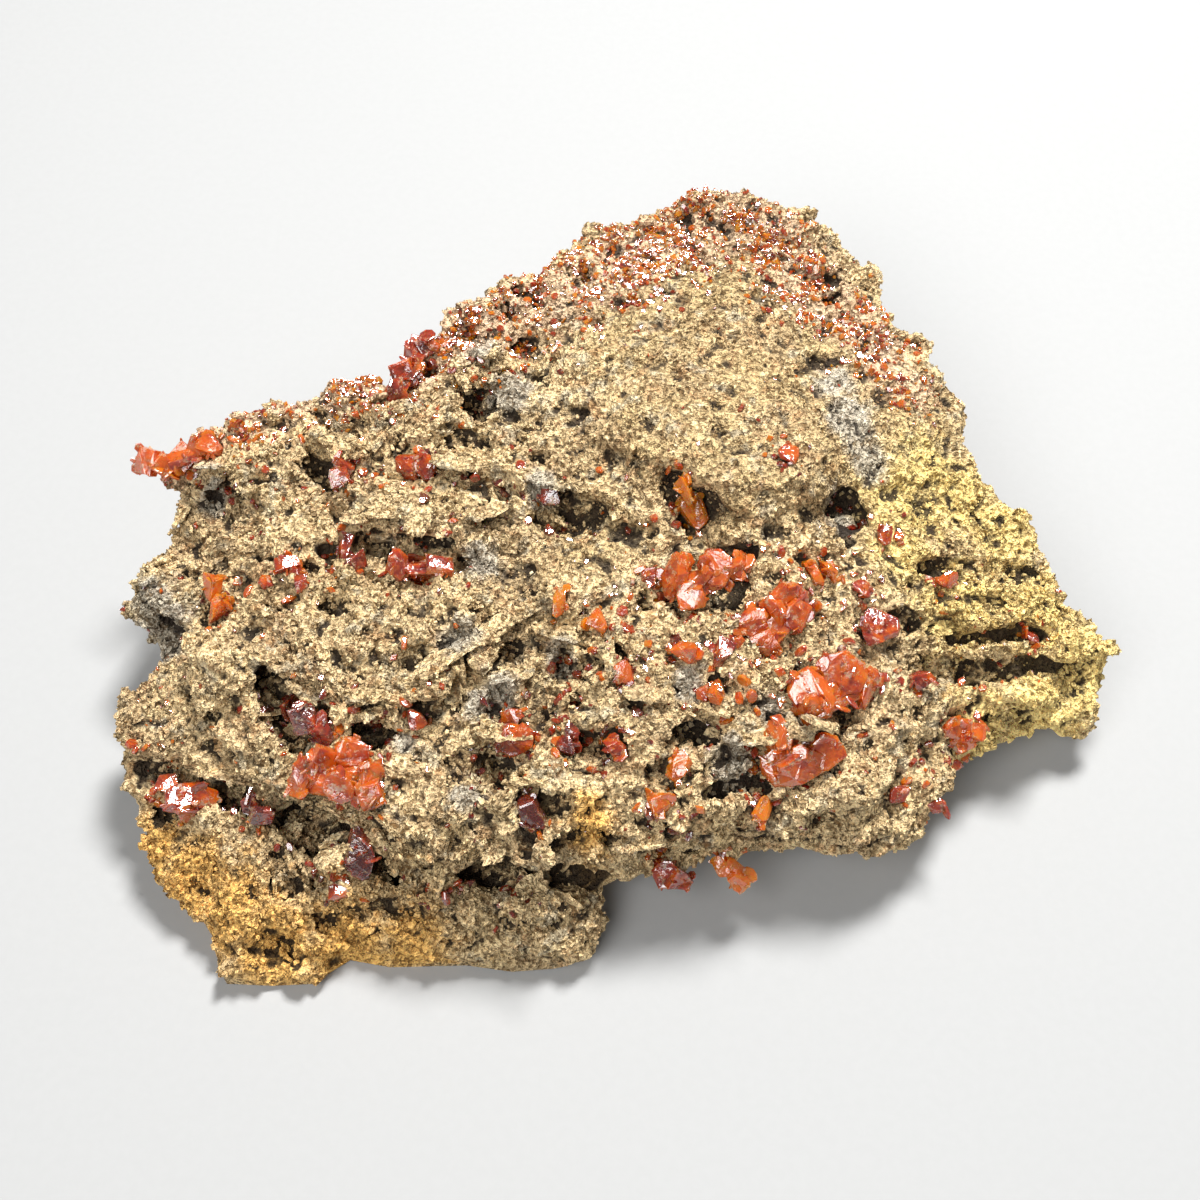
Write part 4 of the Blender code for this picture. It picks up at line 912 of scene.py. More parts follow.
@dataclass(frozen=True)
class WulfeniteFinish:
    """Glassy wulfenite, from brown-red through orange-red to bright orange."""

    dark: tuple = (0.15, 0.02, 0.012)
    deep: tuple = (0.45, 0.045, 0.012)
    bright: tuple = (0.88, 0.16, 0.008)
    lit: tuple = (1.0, 0.26, 0.008)
    milky: tuple = (0.80, 0.36, 0.20)
    dust: tuple = (0.66, 0.46, 0.27)
    roughness: float = 0.06
    transmission: float = 0.45
    refraction: float = 2.2
    glow: float = 0.6
    glow_reach: tuple = (1.0, 0.3, 0.04)
    glow_depth: float = 1.6
    cloud_size: float = 1.6
    fleck_size: float = 0.35
    milk_size: float = 0.7
    dust_size: float = 1.1
    ripple_size: float = 0.45
    ripple_depth: float = 0.12

    def material(self, name: str) -> bpy.types.Material:
        """Builds the wulfenite material.

        Args:
            name: The material's name.

        Returns:
            The material, which reads the piece's own tone and Object coordinates.
        """
        material = bpy.data.materials.new(name)
        material.use_nodes = True
        bench = NodeBench(material.node_tree)
        place = bench.add("ShaderNodeTexCoord").outputs["Object"]
        cloud = bench.noise(place, self.cloud_size)
        flecks = bench.noise(place, self.fleck_size, 2.0)
        level = bench.math("ADD", bench.attribute("tone"), bench.math("MULTIPLY_ADD", cloud, 1.1, -0.55))
        level = bench.math("ADD", level, bench.math("MULTIPLY_ADD", flecks, 0.3, -0.15))
        base = bench.mix(bench.ramp(level, 0.05, 0.4), self.dark, self.deep)
        base = bench.mix(bench.ramp(level, 0.35, 0.7), base, self.bright)
        base = bench.mix(bench.ramp(level, 0.75, 1.05), base, self.lit)
        cloudy = bench.ramp(bench.noise(place, self.milk_size, 4.0, 0.7), 0.5, 0.76, (0.0, 0.42))
        base = bench.mix(cloudy, base, self.milky)
        dusty = bench.ramp(bench.noise(place, self.dust_size, 4.0, 0.75), 0.54, 0.65, (0.0, 0.7))
        base = bench.mix(dusty, base, self.dust)
        rough = bench.ramp(flecks, 0.35, 0.75, (self.roughness * 0.6, self.roughness * 2.2))
        rough = bench.math("MULTIPLY_ADD", dusty, 0.6, rough)
        height = bench.math("ADD", bench.noise(place, self.ripple_size), bench.math("MULTIPLY", cloud, 2.5))
        bump = bench.add(
            "ShaderNodeBump", None, Strength=0.55, Distance=self.ripple_depth * MM, Height=height
        )
        shader = bench.add(
            "ShaderNodeBsdfPrincipled", None,
            Base_Color=base, Roughness=rough, Normal=bump.outputs[0],
        )
        shader.inputs["IOR"].default_value = self.refraction
        shader.inputs["Subsurface Weight"].default_value = self.glow
        shader.inputs["Subsurface Radius"].default_value = self.glow_reach
        shader.inputs["Subsurface Scale"].default_value = self.glow_depth * MM
        shader.inputs["Transmission Weight"].default_value = self.transmission
        bench.add("ShaderNodeOutputMaterial", None, Surface=shader.outputs[0])
        return material


@dataclass(frozen=True)
class FloorFinish:
    """A plain pale matt floor with a faint fine tooth."""

    colour: tuple = (0.38, 0.38, 0.375)
    tooth_colour: tuple = (0.5, 0.5, 0.5)
    tooth_size: float = 1.2

    def material(self) -> bpy.types.Material:
        """Builds the floor's material.

        Returns:
            The material.
        """
        material = bpy.data.materials.new("pale_floor")
        material.use_nodes = True
        bench = NodeBench(material.node_tree)
        place = bench.add("ShaderNodeTexCoord").outputs["Object"]
        tooth = bench.ramp(bench.noise(place, self.tooth_size), 0.3, 0.7, (0.0, 0.06))
        base = bench.mix(tooth, self.colour, self.tooth_colour)
        shader = bench.add("ShaderNodeBsdfPrincipled", None, Base_Color=base, Roughness=0.9)
        bench.add("ShaderNodeOutputMaterial", None, Surface=shader.outputs[0])
        return material


class Tone(Enum):
    """How light a crystal is, from the shaded brown-red ones to those lit from behind."""

    SHADED = 0.12
    RED = 0.42
    ORANGE_RED = 0.62
    BRIGHT = 0.9
    GLOWING = 1.1


# ---------------------------------------------------------------- the stone


@dataclass
class CreviceLines:
    """The middles of the long crevices, and how places lie to them."""

    spacing: float = 0.5
    sink: float = 0.6

    def __post_init__(self) -> None:
        """Reads the routes as evenly spaced spots.

        Each spot has the crevice's radius and the level direction across it.
        """
        spots, radii, across = [], [], []
        for radius, route in CREVICES:
            corners = np.array(route, float) - np.array([0, 0, self.sink])
            for start, end in zip(corners[:-1], corners[1:]):
                way = end - start
                side = np.array([-way[1], way[0], 0.0]) * (1 if way[0] > 0 else -1)
                count = max(2, int(np.linalg.norm(way) / self.spacing))
                for part in np.linspace(0, 1, count, endpoint=False):
                    spots.append(start + part * way)
                    radii.append(radius)
                    across.append(side / np.linalg.norm(side))
        self.spots, self.radii, self.across = np.array(spots), np.array(radii), np.array(across)

    def measure(self, points: Points) -> tuple:
        """How points lie to the nearest crevice.

        Args:
            points: Points in millimetres.

        Returns:
            Their distance to its middle, the same in radii, and their side: 1 behind and -1 in front.
        """
        tree = tree_of(self.spots)
        found = [tree.find(point) for point in points]
        rows = np.array([row for _, row, _ in found])
        away = np.array([distance for _, _, distance in found])
        side = np.sign(((points - self.spots[rows]) * self.across[rows]).sum(axis=1))
        return away, away / self.radii[rows], side


@dataclass
class LimoniteRock:
    """The matrix: the CAD solid, roughened, crumbled and opened up."""

    node: str = "matrix"
    name: str = "limonite_matrix"
    triangles: int = 192000
    working_voxel: float = 0.6
    last_voxel: float = 0.44
    closing_voxel: float = 0.5
    tube_voxel: float = 0.35
    # how the stone meets the crystals, the foot and the top
    closing_reach: float = 0.65
    crystal_gap: float = 0.1
    crystal_clearance: float = 1.9
    lifts: tuple = (0.0, 0.35, 0.9, 1.5)
    lift_way: tuple = (0.0, -0.35, 0.94)
    foot_height: float = 2.6
    ceiling: float = 34.4
    ceiling_room: float = 2.2
    # sizes and heights of the relief
    bedding: tuple = (0.75, 1.0, 1.35)
    block_size: float = 4.4
    lump_height: float = 1.45
    joint_depth: float = 0.7
    swelling_size: float = 5.5
    swelling_height: float = 0.9
    small_pit_size: float = 3.6
    small_pit_depth: float = 1.9
    ragged_size: float = 1.7
    ragged_height: float = 1.5
    pit_depth: float = 2.2
    crevice_room: float = 0.3
    ledge_height: float = 1.35
    ledge_width: float = 2.6
    bed_size: float = 1.5
    bed_height: float = 0.75
    groove_size: float = 2.6
    groove_height: float = 1.3
    crumb_size: float = 2.0
    crumb_height: float = 0.75
    crumb_joint_depth: float = 0.35
    grain_size: float = 0.95
    grain_height: float = 0.2
    finest_size: float = 0.6
    finest_height: float = 0.12
    # how deep a hollow is that gets the full painted shade
    small_hollow: float = 0.4
    broad_hollow: float = 1.15

    def __post_init__(self) -> None:
        """Reads where the crevices run."""
        self.lines = CreviceLines()

    def build(self, crystals: list, crystal_points: Points) -> bpy.types.Object:
        """Makes the stone's mesh and its masks.

        Args:
            crystals: The names of the crystal nodes.
            crystal_points: Points on the crystals, which the stone keeps clear of.

        Returns:
            The stone.
        """
        rock = merged_copy(self.node, self.name)
        self.embed(rock, crystals, crystal_points)
        self.carve(rock)
        self.remesh(rock, self.working_voxel)
        self.swell(rock, self.lumps(points_of(rock), normals_of(rock)), crystal_points)
        self.remesh(rock, (self.working_voxel + self.last_voxel) / 2)
        self.swell(rock, self.crumbs(points_of(rock)), crystal_points)
        self.uncover(rock, crystals)
        self.remesh(rock, self.last_voxel)
        self.swell(rock, self.fine_grains(points_of(rock)), crystal_points)
        self.drop_loose(rock)
        self.thin_out(rock)
        self.flatten_foot(rock)
        self.mask(rock)
        rock.data.materials.clear()
        rock.data.polygons.foreach_set("material_index", np.zeros(len(rock.data.polygons), np.int32))
        rock.data.materials.append(LimoniteFinish().material(LIMONITE_MATERIAL))
        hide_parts(self.node)
        return rock

    def embed(self, rock: bpy.types.Object, crystals: list, crystal_points: Points) -> None:
        """Brings the stone up to the crystals, where the CAD solids keep a clearance.

        Args:
            rock: The stone.
            crystals: The names of the crystal nodes.
            crystal_points: Points on the crystals.
        """
        cores = [merged_copy(name, f"{name}_core") for name in (*crystals, *CRUST_NODES)]
        cutters = [merged_copy(name, f"{name}_cutter") for name in crystals]
        for cutter in cutters:
            set_points(cutter, points_of(cutter) + normals_of(cutter) * self.crystal_gap)
        self.join([rock, *cores, *self.bridges()])
        self.remesh(rock, self.closing_voxel)
        for direction in (1, -1):
            points, normals = points_of(rock), normals_of(rock)
            close_by = smooth_step(3.0, 1.8, nearest_distance(points, crystal_points))
            above_foot = smooth_step(0.1, self.foot_height, points[:, 2])
            shift = direction * self.closing_reach * close_by * above_foot
            set_points(rock, points + normals * shift[:, None])
            self.remesh(rock, self.closing_voxel)
        self.join(cutters)
        self.cut_away(rock, cutters[0])

    def uncover(self, rock: bpy.types.Object, crystals: list) -> None:
        """Clears away stone that the relief has pushed over the crystals.

        Args:
            rock: The stone.
            crystals: The names of the crystal nodes.
        """
        cutters = []
        for lift in self.lifts:
            for name in crystals:
                cutter = merged_copy(name, f"{name}_cutter")
                set_points(cutter, points_of(cutter) + lift * np.array(self.lift_way))
                cutters.append(cutter)
        self.join(cutters)
        self.remesh(cutters[0], self.tube_voxel)
        self.cut_away(rock, cutters[0])

    @staticmethod
    def bridges() -> list:
        """Makes the low lumps of stone that thin-held crystals stand on.

        Returns:
            The lumps.
        """
        made = []
        for place, half in BRIDGES:
            deselect_all()
            bpy.ops.mesh.primitive_ico_sphere_add(subdivisions=3, radius=1.0)
            lump = bpy.context.view_layer.objects.active
            set_points(lump, points_of(lump) * MM * np.array(half) + np.array(place))
            made.append(lump)
        return made

    @staticmethod
    def join(pieces: list) -> None:
        """Joins pieces into the first of them.

        Args:
            pieces: The pieces, which become one object.
        """
        choose(pieces[0])
        for piece in pieces[1:]:
            piece.select_set(True)
        bpy.ops.object.join()

    def carve(self, rock: bpy.types.Object) -> None:
        """Deepens the crevices with tubes, thinner at both ends, that are cut away together.

        Args:
            rock: The stone.
        """
        tubes = []
        for number, (radius, route) in enumerate(CREVICES):
            curve = bpy.data.curves.new(f"crevice_{number}", "CURVE")
            curve.dimensions = "3D"
            curve.bevel_depth = (radius + self.crevice_room) * MM
            curve.bevel_resolution = 2
            curve.use_fill_caps = True
            spline = curve.splines.new("POLY")
            spline.points.add(len(route) - 1)
            for index, spot in enumerate(route):
                spline.points[index].co = (*((Vector(spot) - Vector((0, 0, self.lines.sink))) * MM), 1)
                thickness = math.sin(math.pi * (index + 0.7) / (len(route) + 0.4))
                spline.points[index].radius = 0.45 + 0.75 * thickness
            tube = bpy.data.objects.new(curve.name, curve)
            bpy.context.scene.collection.objects.link(tube)
            choose(tube)
            bpy.ops.object.convert(target="MESH")
            tubes.append(bpy.context.view_layer.objects.active)
        self.join(tubes)
        self.remesh(tubes[0], self.tube_voxel)
        self.cut_away(rock, tubes[0])

    @staticmethod
    def cut_away(rock: bpy.types.Object, cutter: bpy.types.Object) -> None:
        """Cuts one mesh from the stone and removes it."""
        apply_modifier(rock, "BOOLEAN", object=cutter, operation="DIFFERENCE", solver="MANIFOLD")
        bpy.data.objects.remove(cutter)

    def remesh(self, rock: bpy.types.Object, size: float) -> None:
        """Remakes the surface in even squares of a size in millimetres."""
        apply_modifier(rock, "REMESH", mode="VOXEL", voxel_size=size * MM, adaptivity=0.0)

    def roughness_of(self, points: Points) -> Points:
        """How broken the stone is: little on the sandy dome, most in front and at the left."""
        return 1.0 - 0.6 * np.clip(near(points, PALE_PLACES) * 1.2, 0, 1)

    def lumps(self, points: Points, normals: Points) -> Points:
        """The broad relief: blocks and beds, pits, and the ragged openings of the hollows.

        Args:
            points: The stone's vertices.
            normals: Its vertex normals.

        Returns:
            How far each vertex moves out, in millimetres.
        """
        broken = self.roughness_of(points)
        height = self.blocks(points, normals, broken)
        height = self.opened(points, height)
        away, radii_away, side = self.lines.measure(points)
        ledge = np.where(side > 0, self.ledge_height, -0.7 * self.ledge_height)
        ledge = ledge * np.exp(-((away / self.ledge_width) ** 2))
        height += ledge * smooth_step(0.9, 1.4, radii_away) * broken
        steep = smooth_step(0.75, 0.35, normals[:, 2])
        flat = points * np.array([0.22, 0.22, 1.0])
        beds = StoneNoise.layered(flat, self.bed_size, 2, Pattern.BEDS)
        long = points * np.array([0.16, 1.0, 0.4])
        grooves = near(points, GOLD_PLACES) * StoneNoise.layered(long, self.groove_size, 2, Pattern.GROOVES)
        return height + self.bed_height * steep * beds + self.groove_height * grooves

    def blocks(self, points: Points, normals: Points, broken: Points) -> Points:
        """Broken blocks with joints between them, soft swellings and small pits.

        Args:
            points: The stone's vertices.
            normals: Its vertex normals.
            broken: How broken the stone is at each vertex.

        Returns:
            How far each vertex moves out, in millimetres.
        """
        laid = (points + 0.9 * shifts(points, 3.4, Pattern.BLOCK_BEND)) * self.bedding
        face, edge = StoneNoise.blocks(laid, self.block_size, Pattern.BLOCKS)
        height = self.lump_height * broken * face
        height -= self.joint_depth * broken * smooth_step(0.16, 0.02, edge)
        height += self.swelling_height * broken * StoneNoise.layered(
            points, self.swelling_size, 3, Pattern.SWELLING
        )
        pits = StoneNoise.layered(points * self.bedding, self.small_pit_size, 2, Pattern.PITS)
        pits = smooth_step(0.3, 0.65, pits)
        calm = np.clip(1.0 - 1.3 * near(points, GOLD_PLACES), 0, 1)
        back = smooth_step(0.1, 0.6, normals[:, 1])
        height -= self.small_pit_depth * pits * calm * smooth_step(0.45, 0.9, broken) * (1.0 - 0.75 * back)
        return height

    def opened(self, points: Points, height: Points) -> Points:
        """Opens the hollows, each with a ragged edge and its own size and lean.

        Args:
            points: The stone's vertices.
            height: How far each vertex moves out so far, in millimetres.

        Returns:
            The same with the hollows pressed in.
        """
        ragged = self.ragged_height * StoneNoise.layered(points, self.ragged_size, 3, Pattern.RAGGED_EDGES)
        for number, place in enumerate(CAVITY_PLACES):
            reach = 0.9 + 0.9 * ((number * 7) % 10) / 10
            lean = math.radians(-34 + (number * 37) % 50)
            step = points - np.array(place)
            along = step[:, 0] * math.cos(lean) + step[:, 1] * math.sin(lean)
            across = step[:, 1] * math.cos(lean) - step[:, 0] * math.sin(lean)
            away = np.sqrt((along * 0.45) ** 2 + (across * 1.25) ** 2 + (step[:, 2] * 0.7) ** 2) + ragged
            pressed = smooth_step(reach * 1.2, reach * 0.5, away)
            height = np.minimum(height, height * 0.6 - self.pit_depth * pressed)
        return height

    def crumbs(self, points: Points) -> Points:
        """The middle relief, in angular crumbs.

        Args:
            points: The stone's vertices.

        Returns:
            How far each vertex moves out, in millimetres.
        """
        broken = 0.3 + 0.7 * self.roughness_of(points)
        laid = (points + 0.4 * shifts(points, 1.6, Pattern.CRUMB_BEND)) * self.bedding
        face, edge = StoneNoise.blocks(laid, self.crumb_size, Pattern.CRUMBS)
        height = self.crumb_height * broken * face
        return height - self.crumb_joint_depth * broken * smooth_step(0.2, 0.03, edge)

    def fine_grains(self, points: Points) -> Points:
        """The finest relief that the mesh can hold.

        Args:
            points: The stone's vertices.

        Returns:
            How far each vertex moves out, in millimetres.
        """
        face, _ = StoneNoise.blocks(points, self.grain_size, Pattern.GRAINS)
        height = self.grain_height * (0.4 + 0.6 * self.roughness_of(points)) * face
        return height + self.finest_height * StoneNoise.soft(points, self.finest_size, Pattern.FINEST)

    def swell(self, rock: bpy.types.Object, height: Points, crystal_points: Points) -> None:
        """Moves the surface along its normals, less at the foot and beside the crystals.

        Args:
            rock: The stone.
            height: How far each vertex moves out, in millimetres.
            crystal_points: Vertices of the crystals.
        """
        points, normals = points_of(rock), normals_of(rock)
        away = nearest_distance(points, crystal_points)
        outward = smooth_step(0.3, self.crystal_clearance, away)
        outward *= smooth_step(self.ceiling, self.ceiling - self.ceiling_room, points[:, 2])
        height = np.where(height > 0, height * outward, height)
        height *= smooth_step(0.1, self.foot_height, points[:, 2])
        set_points(rock, points + normals * height[:, None])

    def drop_loose(self, rock: bpy.types.Object) -> None:
        """Deletes crumbs that the cuts have left hanging free of the stone.

        Args:
            rock: The stone.
        """
        lowest = int(points_of(rock)[:, 2].argmin())
        choose(rock)
        bpy.ops.object.mode_set(mode="EDIT")
        bpy.ops.mesh.select_mode(type="VERT")
        bpy.ops.mesh.select_all(action="DESELECT")
        bpy.ops.object.mode_set(mode="OBJECT")
        rock.data.vertices[lowest].select = True
        bpy.ops.object.mode_set(mode="EDIT")
        bpy.ops.mesh.select_linked()
        bpy.ops.mesh.select_all(action="INVERT")
        bpy.ops.mesh.delete(type="VERT")
        bpy.ops.object.mode_set(mode="OBJECT")

    def thin_out(self, rock: bpy.types.Object) -> None:
        """Brings the stone under its number of triangles, mostly underneath and low down.

        Args:
            rock: The stone.
        """
        count = len(triangles_of(rock))
        if count <= self.triangles:
            return
        points, normals = points_of(rock), normals_of(rock)
        hidden = np.clip(smooth_step(0.2, -0.4, normals[:, 2]) + smooth_step(4.0, 0.5, points[:, 2]), 0, 1)
        group = rock.vertex_groups.new(name="thinned")
        for level in np.linspace(0, 1, 5):
            rows = np.nonzero((hidden >= level - 0.125) & (hidden < level + 0.125))[0]
            if len(rows):
                group.add(rows.tolist(), 0.12 + 0.88 * level, "REPLACE")
        apply_modifier(
            rock, "DECIMATE", ratio=self.triangles / count, vertex_group=group.name, vertex_group_factor=2.0
        )

    def flatten_foot(self, rock: bpy.types.Object) -> None:
        """Keeps every point on or above the resting face.

        Args:
            rock: The stone.
        """
        points = points_of(rock)
        points[:, 2] = np.maximum(points[:, 2], 0.0)
        set_points(rock, points)

    def mask(self, rock: bpy.types.Object) -> None:
        """Stores the colour masks, the depth of the hollows and crevices that carries their painted shade,
        and the tone on the stone.

        Args:
            rock: The stone.
        """
        points, normals = points_of(rock), normals_of(rock)
        paint_zones(rock, points)
        edges = edges_of(rock)
        small = self.depth_below(points, normals, edges, 10) / self.small_hollow
        broad = self.depth_below(points, normals, edges, 70) / self.broad_hollow
        hollow = np.maximum(small, broad)
        _, radii_away, _ = self.lines.measure(points)
        ragged = 0.45 * StoneNoise.layered(points, 1.4, 2, Pattern.CREVICE_EDGES)
        # Painted shade along the crevices, weaker where they are shallow.
        inside = smooth_step(1.25, 0.8, radii_away + ragged)
        inside *= np.clip(0.6 + broad, 0, 1)
        paint(rock, "hollow", np.clip(np.maximum(hollow, inside), 0, 1))
        # The tone is lowered at the darker places, partly as painted shade, and raised at the paler places,
        # mostly as painted light.
        paint(rock, "tone", 0.3 - 0.42 * near(points, DARKER_AND_PAINTED_SHADE_PLACES) + 0.6 * near(points, PALER_AND_PAINTED_LIGHT_PLACES))

    @staticmethod
    def depth_below(points: Points, normals: Points, edges: Points, rounds: int) -> Points:
        """How far each point lies below the same surface smoothed over.

        Args:
            points: The stone's vertices.
            normals: Its vertex normals.
            edges: Pairs of vertex numbers.
            rounds: How many times the surface is smoothed.

        Returns:
            A depth in millimetres, positive in a hollow.
        """
        ends = np.concatenate([edges[:, 0], edges[:, 1]])
        others = np.concatenate([edges[:, 1], edges[:, 0]])
        degree = np.maximum(np.bincount(ends, minlength=len(points)), 1)
        smoothed = points
        for _ in range(rounds):
            sums = [np.bincount(ends, weights=smoothed[others, k], minlength=len(points)) for k in range(3)]
            smoothed = np.stack(sums, axis=1) / degree[:, None]
        return ((smoothed - points) * normals).sum(axis=1)


def paint_zones(obj: bpy.types.Object, points: Points) -> None:
    """Stores the stone's colour masks on a piece.

    Args:
        obj: The piece.
        points: The places that the masks are worked out at, one for each vertex.
    """
    for name, places in ZONES.items():
        paint(obj, name, near(points, places))


def finish_small_stone(piece: bpy.types.Object, roots: Points, tones: Points) -> None:
    """Gives a piece of small stones its masks and the stone's material.

    Args:
        piece: The piece.
        roots: Where each vertex takes its colour from, in millimetres.
        tones: How light each vertex is.
    """
    paint_zones(piece, roots)
    paint(piece, "tone", tones)
    paint(piece, "hollow", np.zeros(len(roots)))
    piece.data.materials.append(bpy.data.materials[LIMONITE_MATERIAL])


@dataclass
class Surface:
    """The finished stone's skin, as somewhere to set small pieces."""

    parts: tuple

    def __post_init__(self) -> None:
        """Reads the skin's triangles, with their middles, normals and areas.

        A triangle with no area gets a normal of no length.
        """
        self.corners = np.concatenate([points_of(part)[triangles_of(part)] for part in self.parts])
        edge_one = self.corners[:, 1] - self.corners[:, 0]
        edge_two = self.corners[:, 2] - self.corners[:, 0]
        cross = np.cross(edge_one, edge_two)
        length = np.maximum(np.linalg.norm(cross, axis=1), 1e-12)
        self.areas = length / 2
        self.normals = cross / length[:, None]
        self.middles = self.corners.mean(axis=1)

    def spots(self, weights: Points, count: int, rng: np.random.Generator) -> tuple:
        """Picks places on the skin.

        Args:
            weights: How wanted each triangle is, for its area.
            count: How many places are picked.
            rng: The seeded source of chance.

        Returns:
            The places and the skin's normals there.
        """
        places, rows = points_within(self.corners, weights * self.areas, count, rng)
        return places, self.normals[rows]

    def nearest(self, place: tuple) -> tuple:
        """The skin's point and normal at a place, taken on the side that faces up.

        Args:
            place: x, y and z in millimetres.

        Returns:
            The point and the normal.
        """
        away = np.linalg.norm(self.middles - np.array(place), axis=1)
        away += np.where(self.normals[:, 2] < 0.1, 3.0, 0.0)
        row = int(away.argmin())
        return self.middles[row], self.normals[row]


def random_turns(count: int, rng: np.random.Generator) -> Points:
    """Evenly random rotations as 3 by 3 matrices.

    Args:
        count: How many are made.
        rng: The seeded source of chance.

    Returns:
        An array of matrices.
    """
    w, x, y, z = unit(rng.normal(size=(count, 4))).T
    rows = [
        [1 - 2 * (y * y + z * z), 2 * (x * y - z * w), 2 * (x * z + y * w)],
        [2 * (x * y + z * w), 1 - 2 * (x * x + z * z), 2 * (y * z - x * w)],
        [2 * (x * z - y * w), 2 * (y * z + x * w), 1 - 2 * (x * x + y * y)],
    ]
    return np.array(rows).transpose(2, 0, 1)


def facing_turns(normals: Points, spins: Points) -> Points:
    """Rotations that lay a piece's own upward axis along given normals.

    Args:
        normals: Unit directions, one row each.
        spins: A turn about each direction, in radians.

    Returns:
        An array of 3 by 3 matrices.
    """
    helper = np.where(np.abs(normals[:, 2:3]) > 0.9, [[1.0, 0.0, 0.0]], [[0.0, 0.0, 1.0]])
    side = unit(np.cross(helper, normals))
    ahead = np.cross(normals, side)
    cos, sin = np.cos(spins)[:, None], np.sin(spins)[:, None]
    return np.stack([side * cos + ahead * sin, ahead * cos - side * sin, normals], axis=2)


def place_copies(shape: tuple, turns: Points, sizes: Points, places: Points) -> tuple:
    """Copies a small shape to many places.

    Args:
        shape: Its vertices and its triangles.
        turns: A rotation for each copy.
        sizes: Three scales for each copy.
        places: Where each copy's middle goes.

    Returns:
        All vertices and all triangles.
    """
    points, faces = shape
    copies = np.einsum("nij,npj->npi", turns, points[None] * sizes[:, None]) + places[:, None]
    shifts = np.arange(len(places))[:, None, None] * len(points)
    return copies.reshape(-1, 3), (faces[None] + shifts).reshape(-1, 3)


def shape_of(obj: bpy.types.Object) -> tuple:
    """Takes a modelled shape's vertices and triangles, and removes the object.

    Args:
        obj: The shape, a few units across.

    Returns:
        Its vertices in its own units and its triangles.
    """
    shape = points_of(obj) * MM, triangles_of(obj).copy()
    bpy.data.objects.remove(obj)
    return shape


def grain_shape(seed: int) -> tuple:
    """Models one angular grain about two units across.

    Args:
        seed: Which of the grains is made.

    Returns:
        Its vertices and triangles.
    """
    deselect_all()
    bpy.ops.mesh.primitive_cube_add(size=1.5)
    grain = bpy.context.view_layer.objects.active
    rng = np.random.default_rng(seed)
    rough = points_of(grain)
    rough *= rng.uniform(0.62, 1.2, (len(rough), 3))
    set_points(grain, rough)
    return shape_of(grain)


@dataclass
class Crumbs:
    """Loose-looking grains that stand on the stone's skin."""

    count: int = 39500
    pieces: int = 4
    kinds: int = 3
    smallest: float = 0.12
    largest: float = 0.5
    crystal_gap: float = 0.25
    stretch: tuple = (0.45, 1.45)
    stand_out: float = 0.25
    clump_size: float = 2.4
    seed: int = 5

    def build(self, surface: Surface, crystal_points: Points) -> list:
        """Sets the grains on the stone.

        Args:
            surface: The stone's skin.
            crystal_points: Vertices of the crystals, which few grains stand beside.

        Returns:
            The pieces, each a part of the stone from left to right.
        """
        rng = np.random.default_rng(self.seed)
        up = smooth_step(-0.5, 0.15, surface.normals[:, 2]) * smooth_step(1.2, 3.0, surface.middles[:, 2])
        patchy = StoneNoise.layered(surface.middles, self.clump_size, 2, Pattern.CLUMPS)
        clumps = 0.3 + smooth_step(-0.25, 0.35, patchy)
        clumps *= 1.0 - 0.6 * near(surface.middles, CRUST_PLACES)
        clumps *= smooth_step(0.95, 1.4, CreviceLines().measure(surface.middles)[1])
        places, normals = surface.spots(up * clumps, self.count, rng)
        keep = nearest_distance(places, crystal_points) > self.crystal_gap
        places, normals = places[keep], normals[keep]
        radii = self.smallest + (self.largest - self.smallest) * rng.random(len(places)) ** 2.6
        radii *= 1.0 - 0.38 * np.clip(near(places, PALE_PLACES, 1.3) * 1.3, 0, 1)
        order = np.argsort(places[:, 0])
        made = []
        shapes = [grain_shape(seed) for seed in range(self.kinds)]
        for number, rows in enumerate(np.array_split(order, self.pieces)):
            heap, tones, roots = Heap(), [], []
            for kind, shape in enumerate(shapes):
                part = rows[kind :: len(shapes)]
                sizes = rng.uniform(*self.stretch, (len(part), 3)) * radii[part][:, None]
                spots = places[part] + normals[part] * radii[part][:, None] * self.stand_out
                points, faces = place_copies(shape, random_turns(len(part), rng), sizes, spots)
                points[:, 2] = np.maximum(points[:, 2], 0.0)
                heap.add(points, faces)
                tones.append(np.repeat(0.1 + 0.6 * rng.random(len(part)), len(shape[0])))
                roots.append(np.repeat(places[part], len(shape[0]), axis=0))
            piece = heap.piece(f"limonite_crumbs_{number + 1}")
            finish_small_stone(piece, np.concatenate(roots), np.concatenate(tones))
            made.append(piece)
        return made


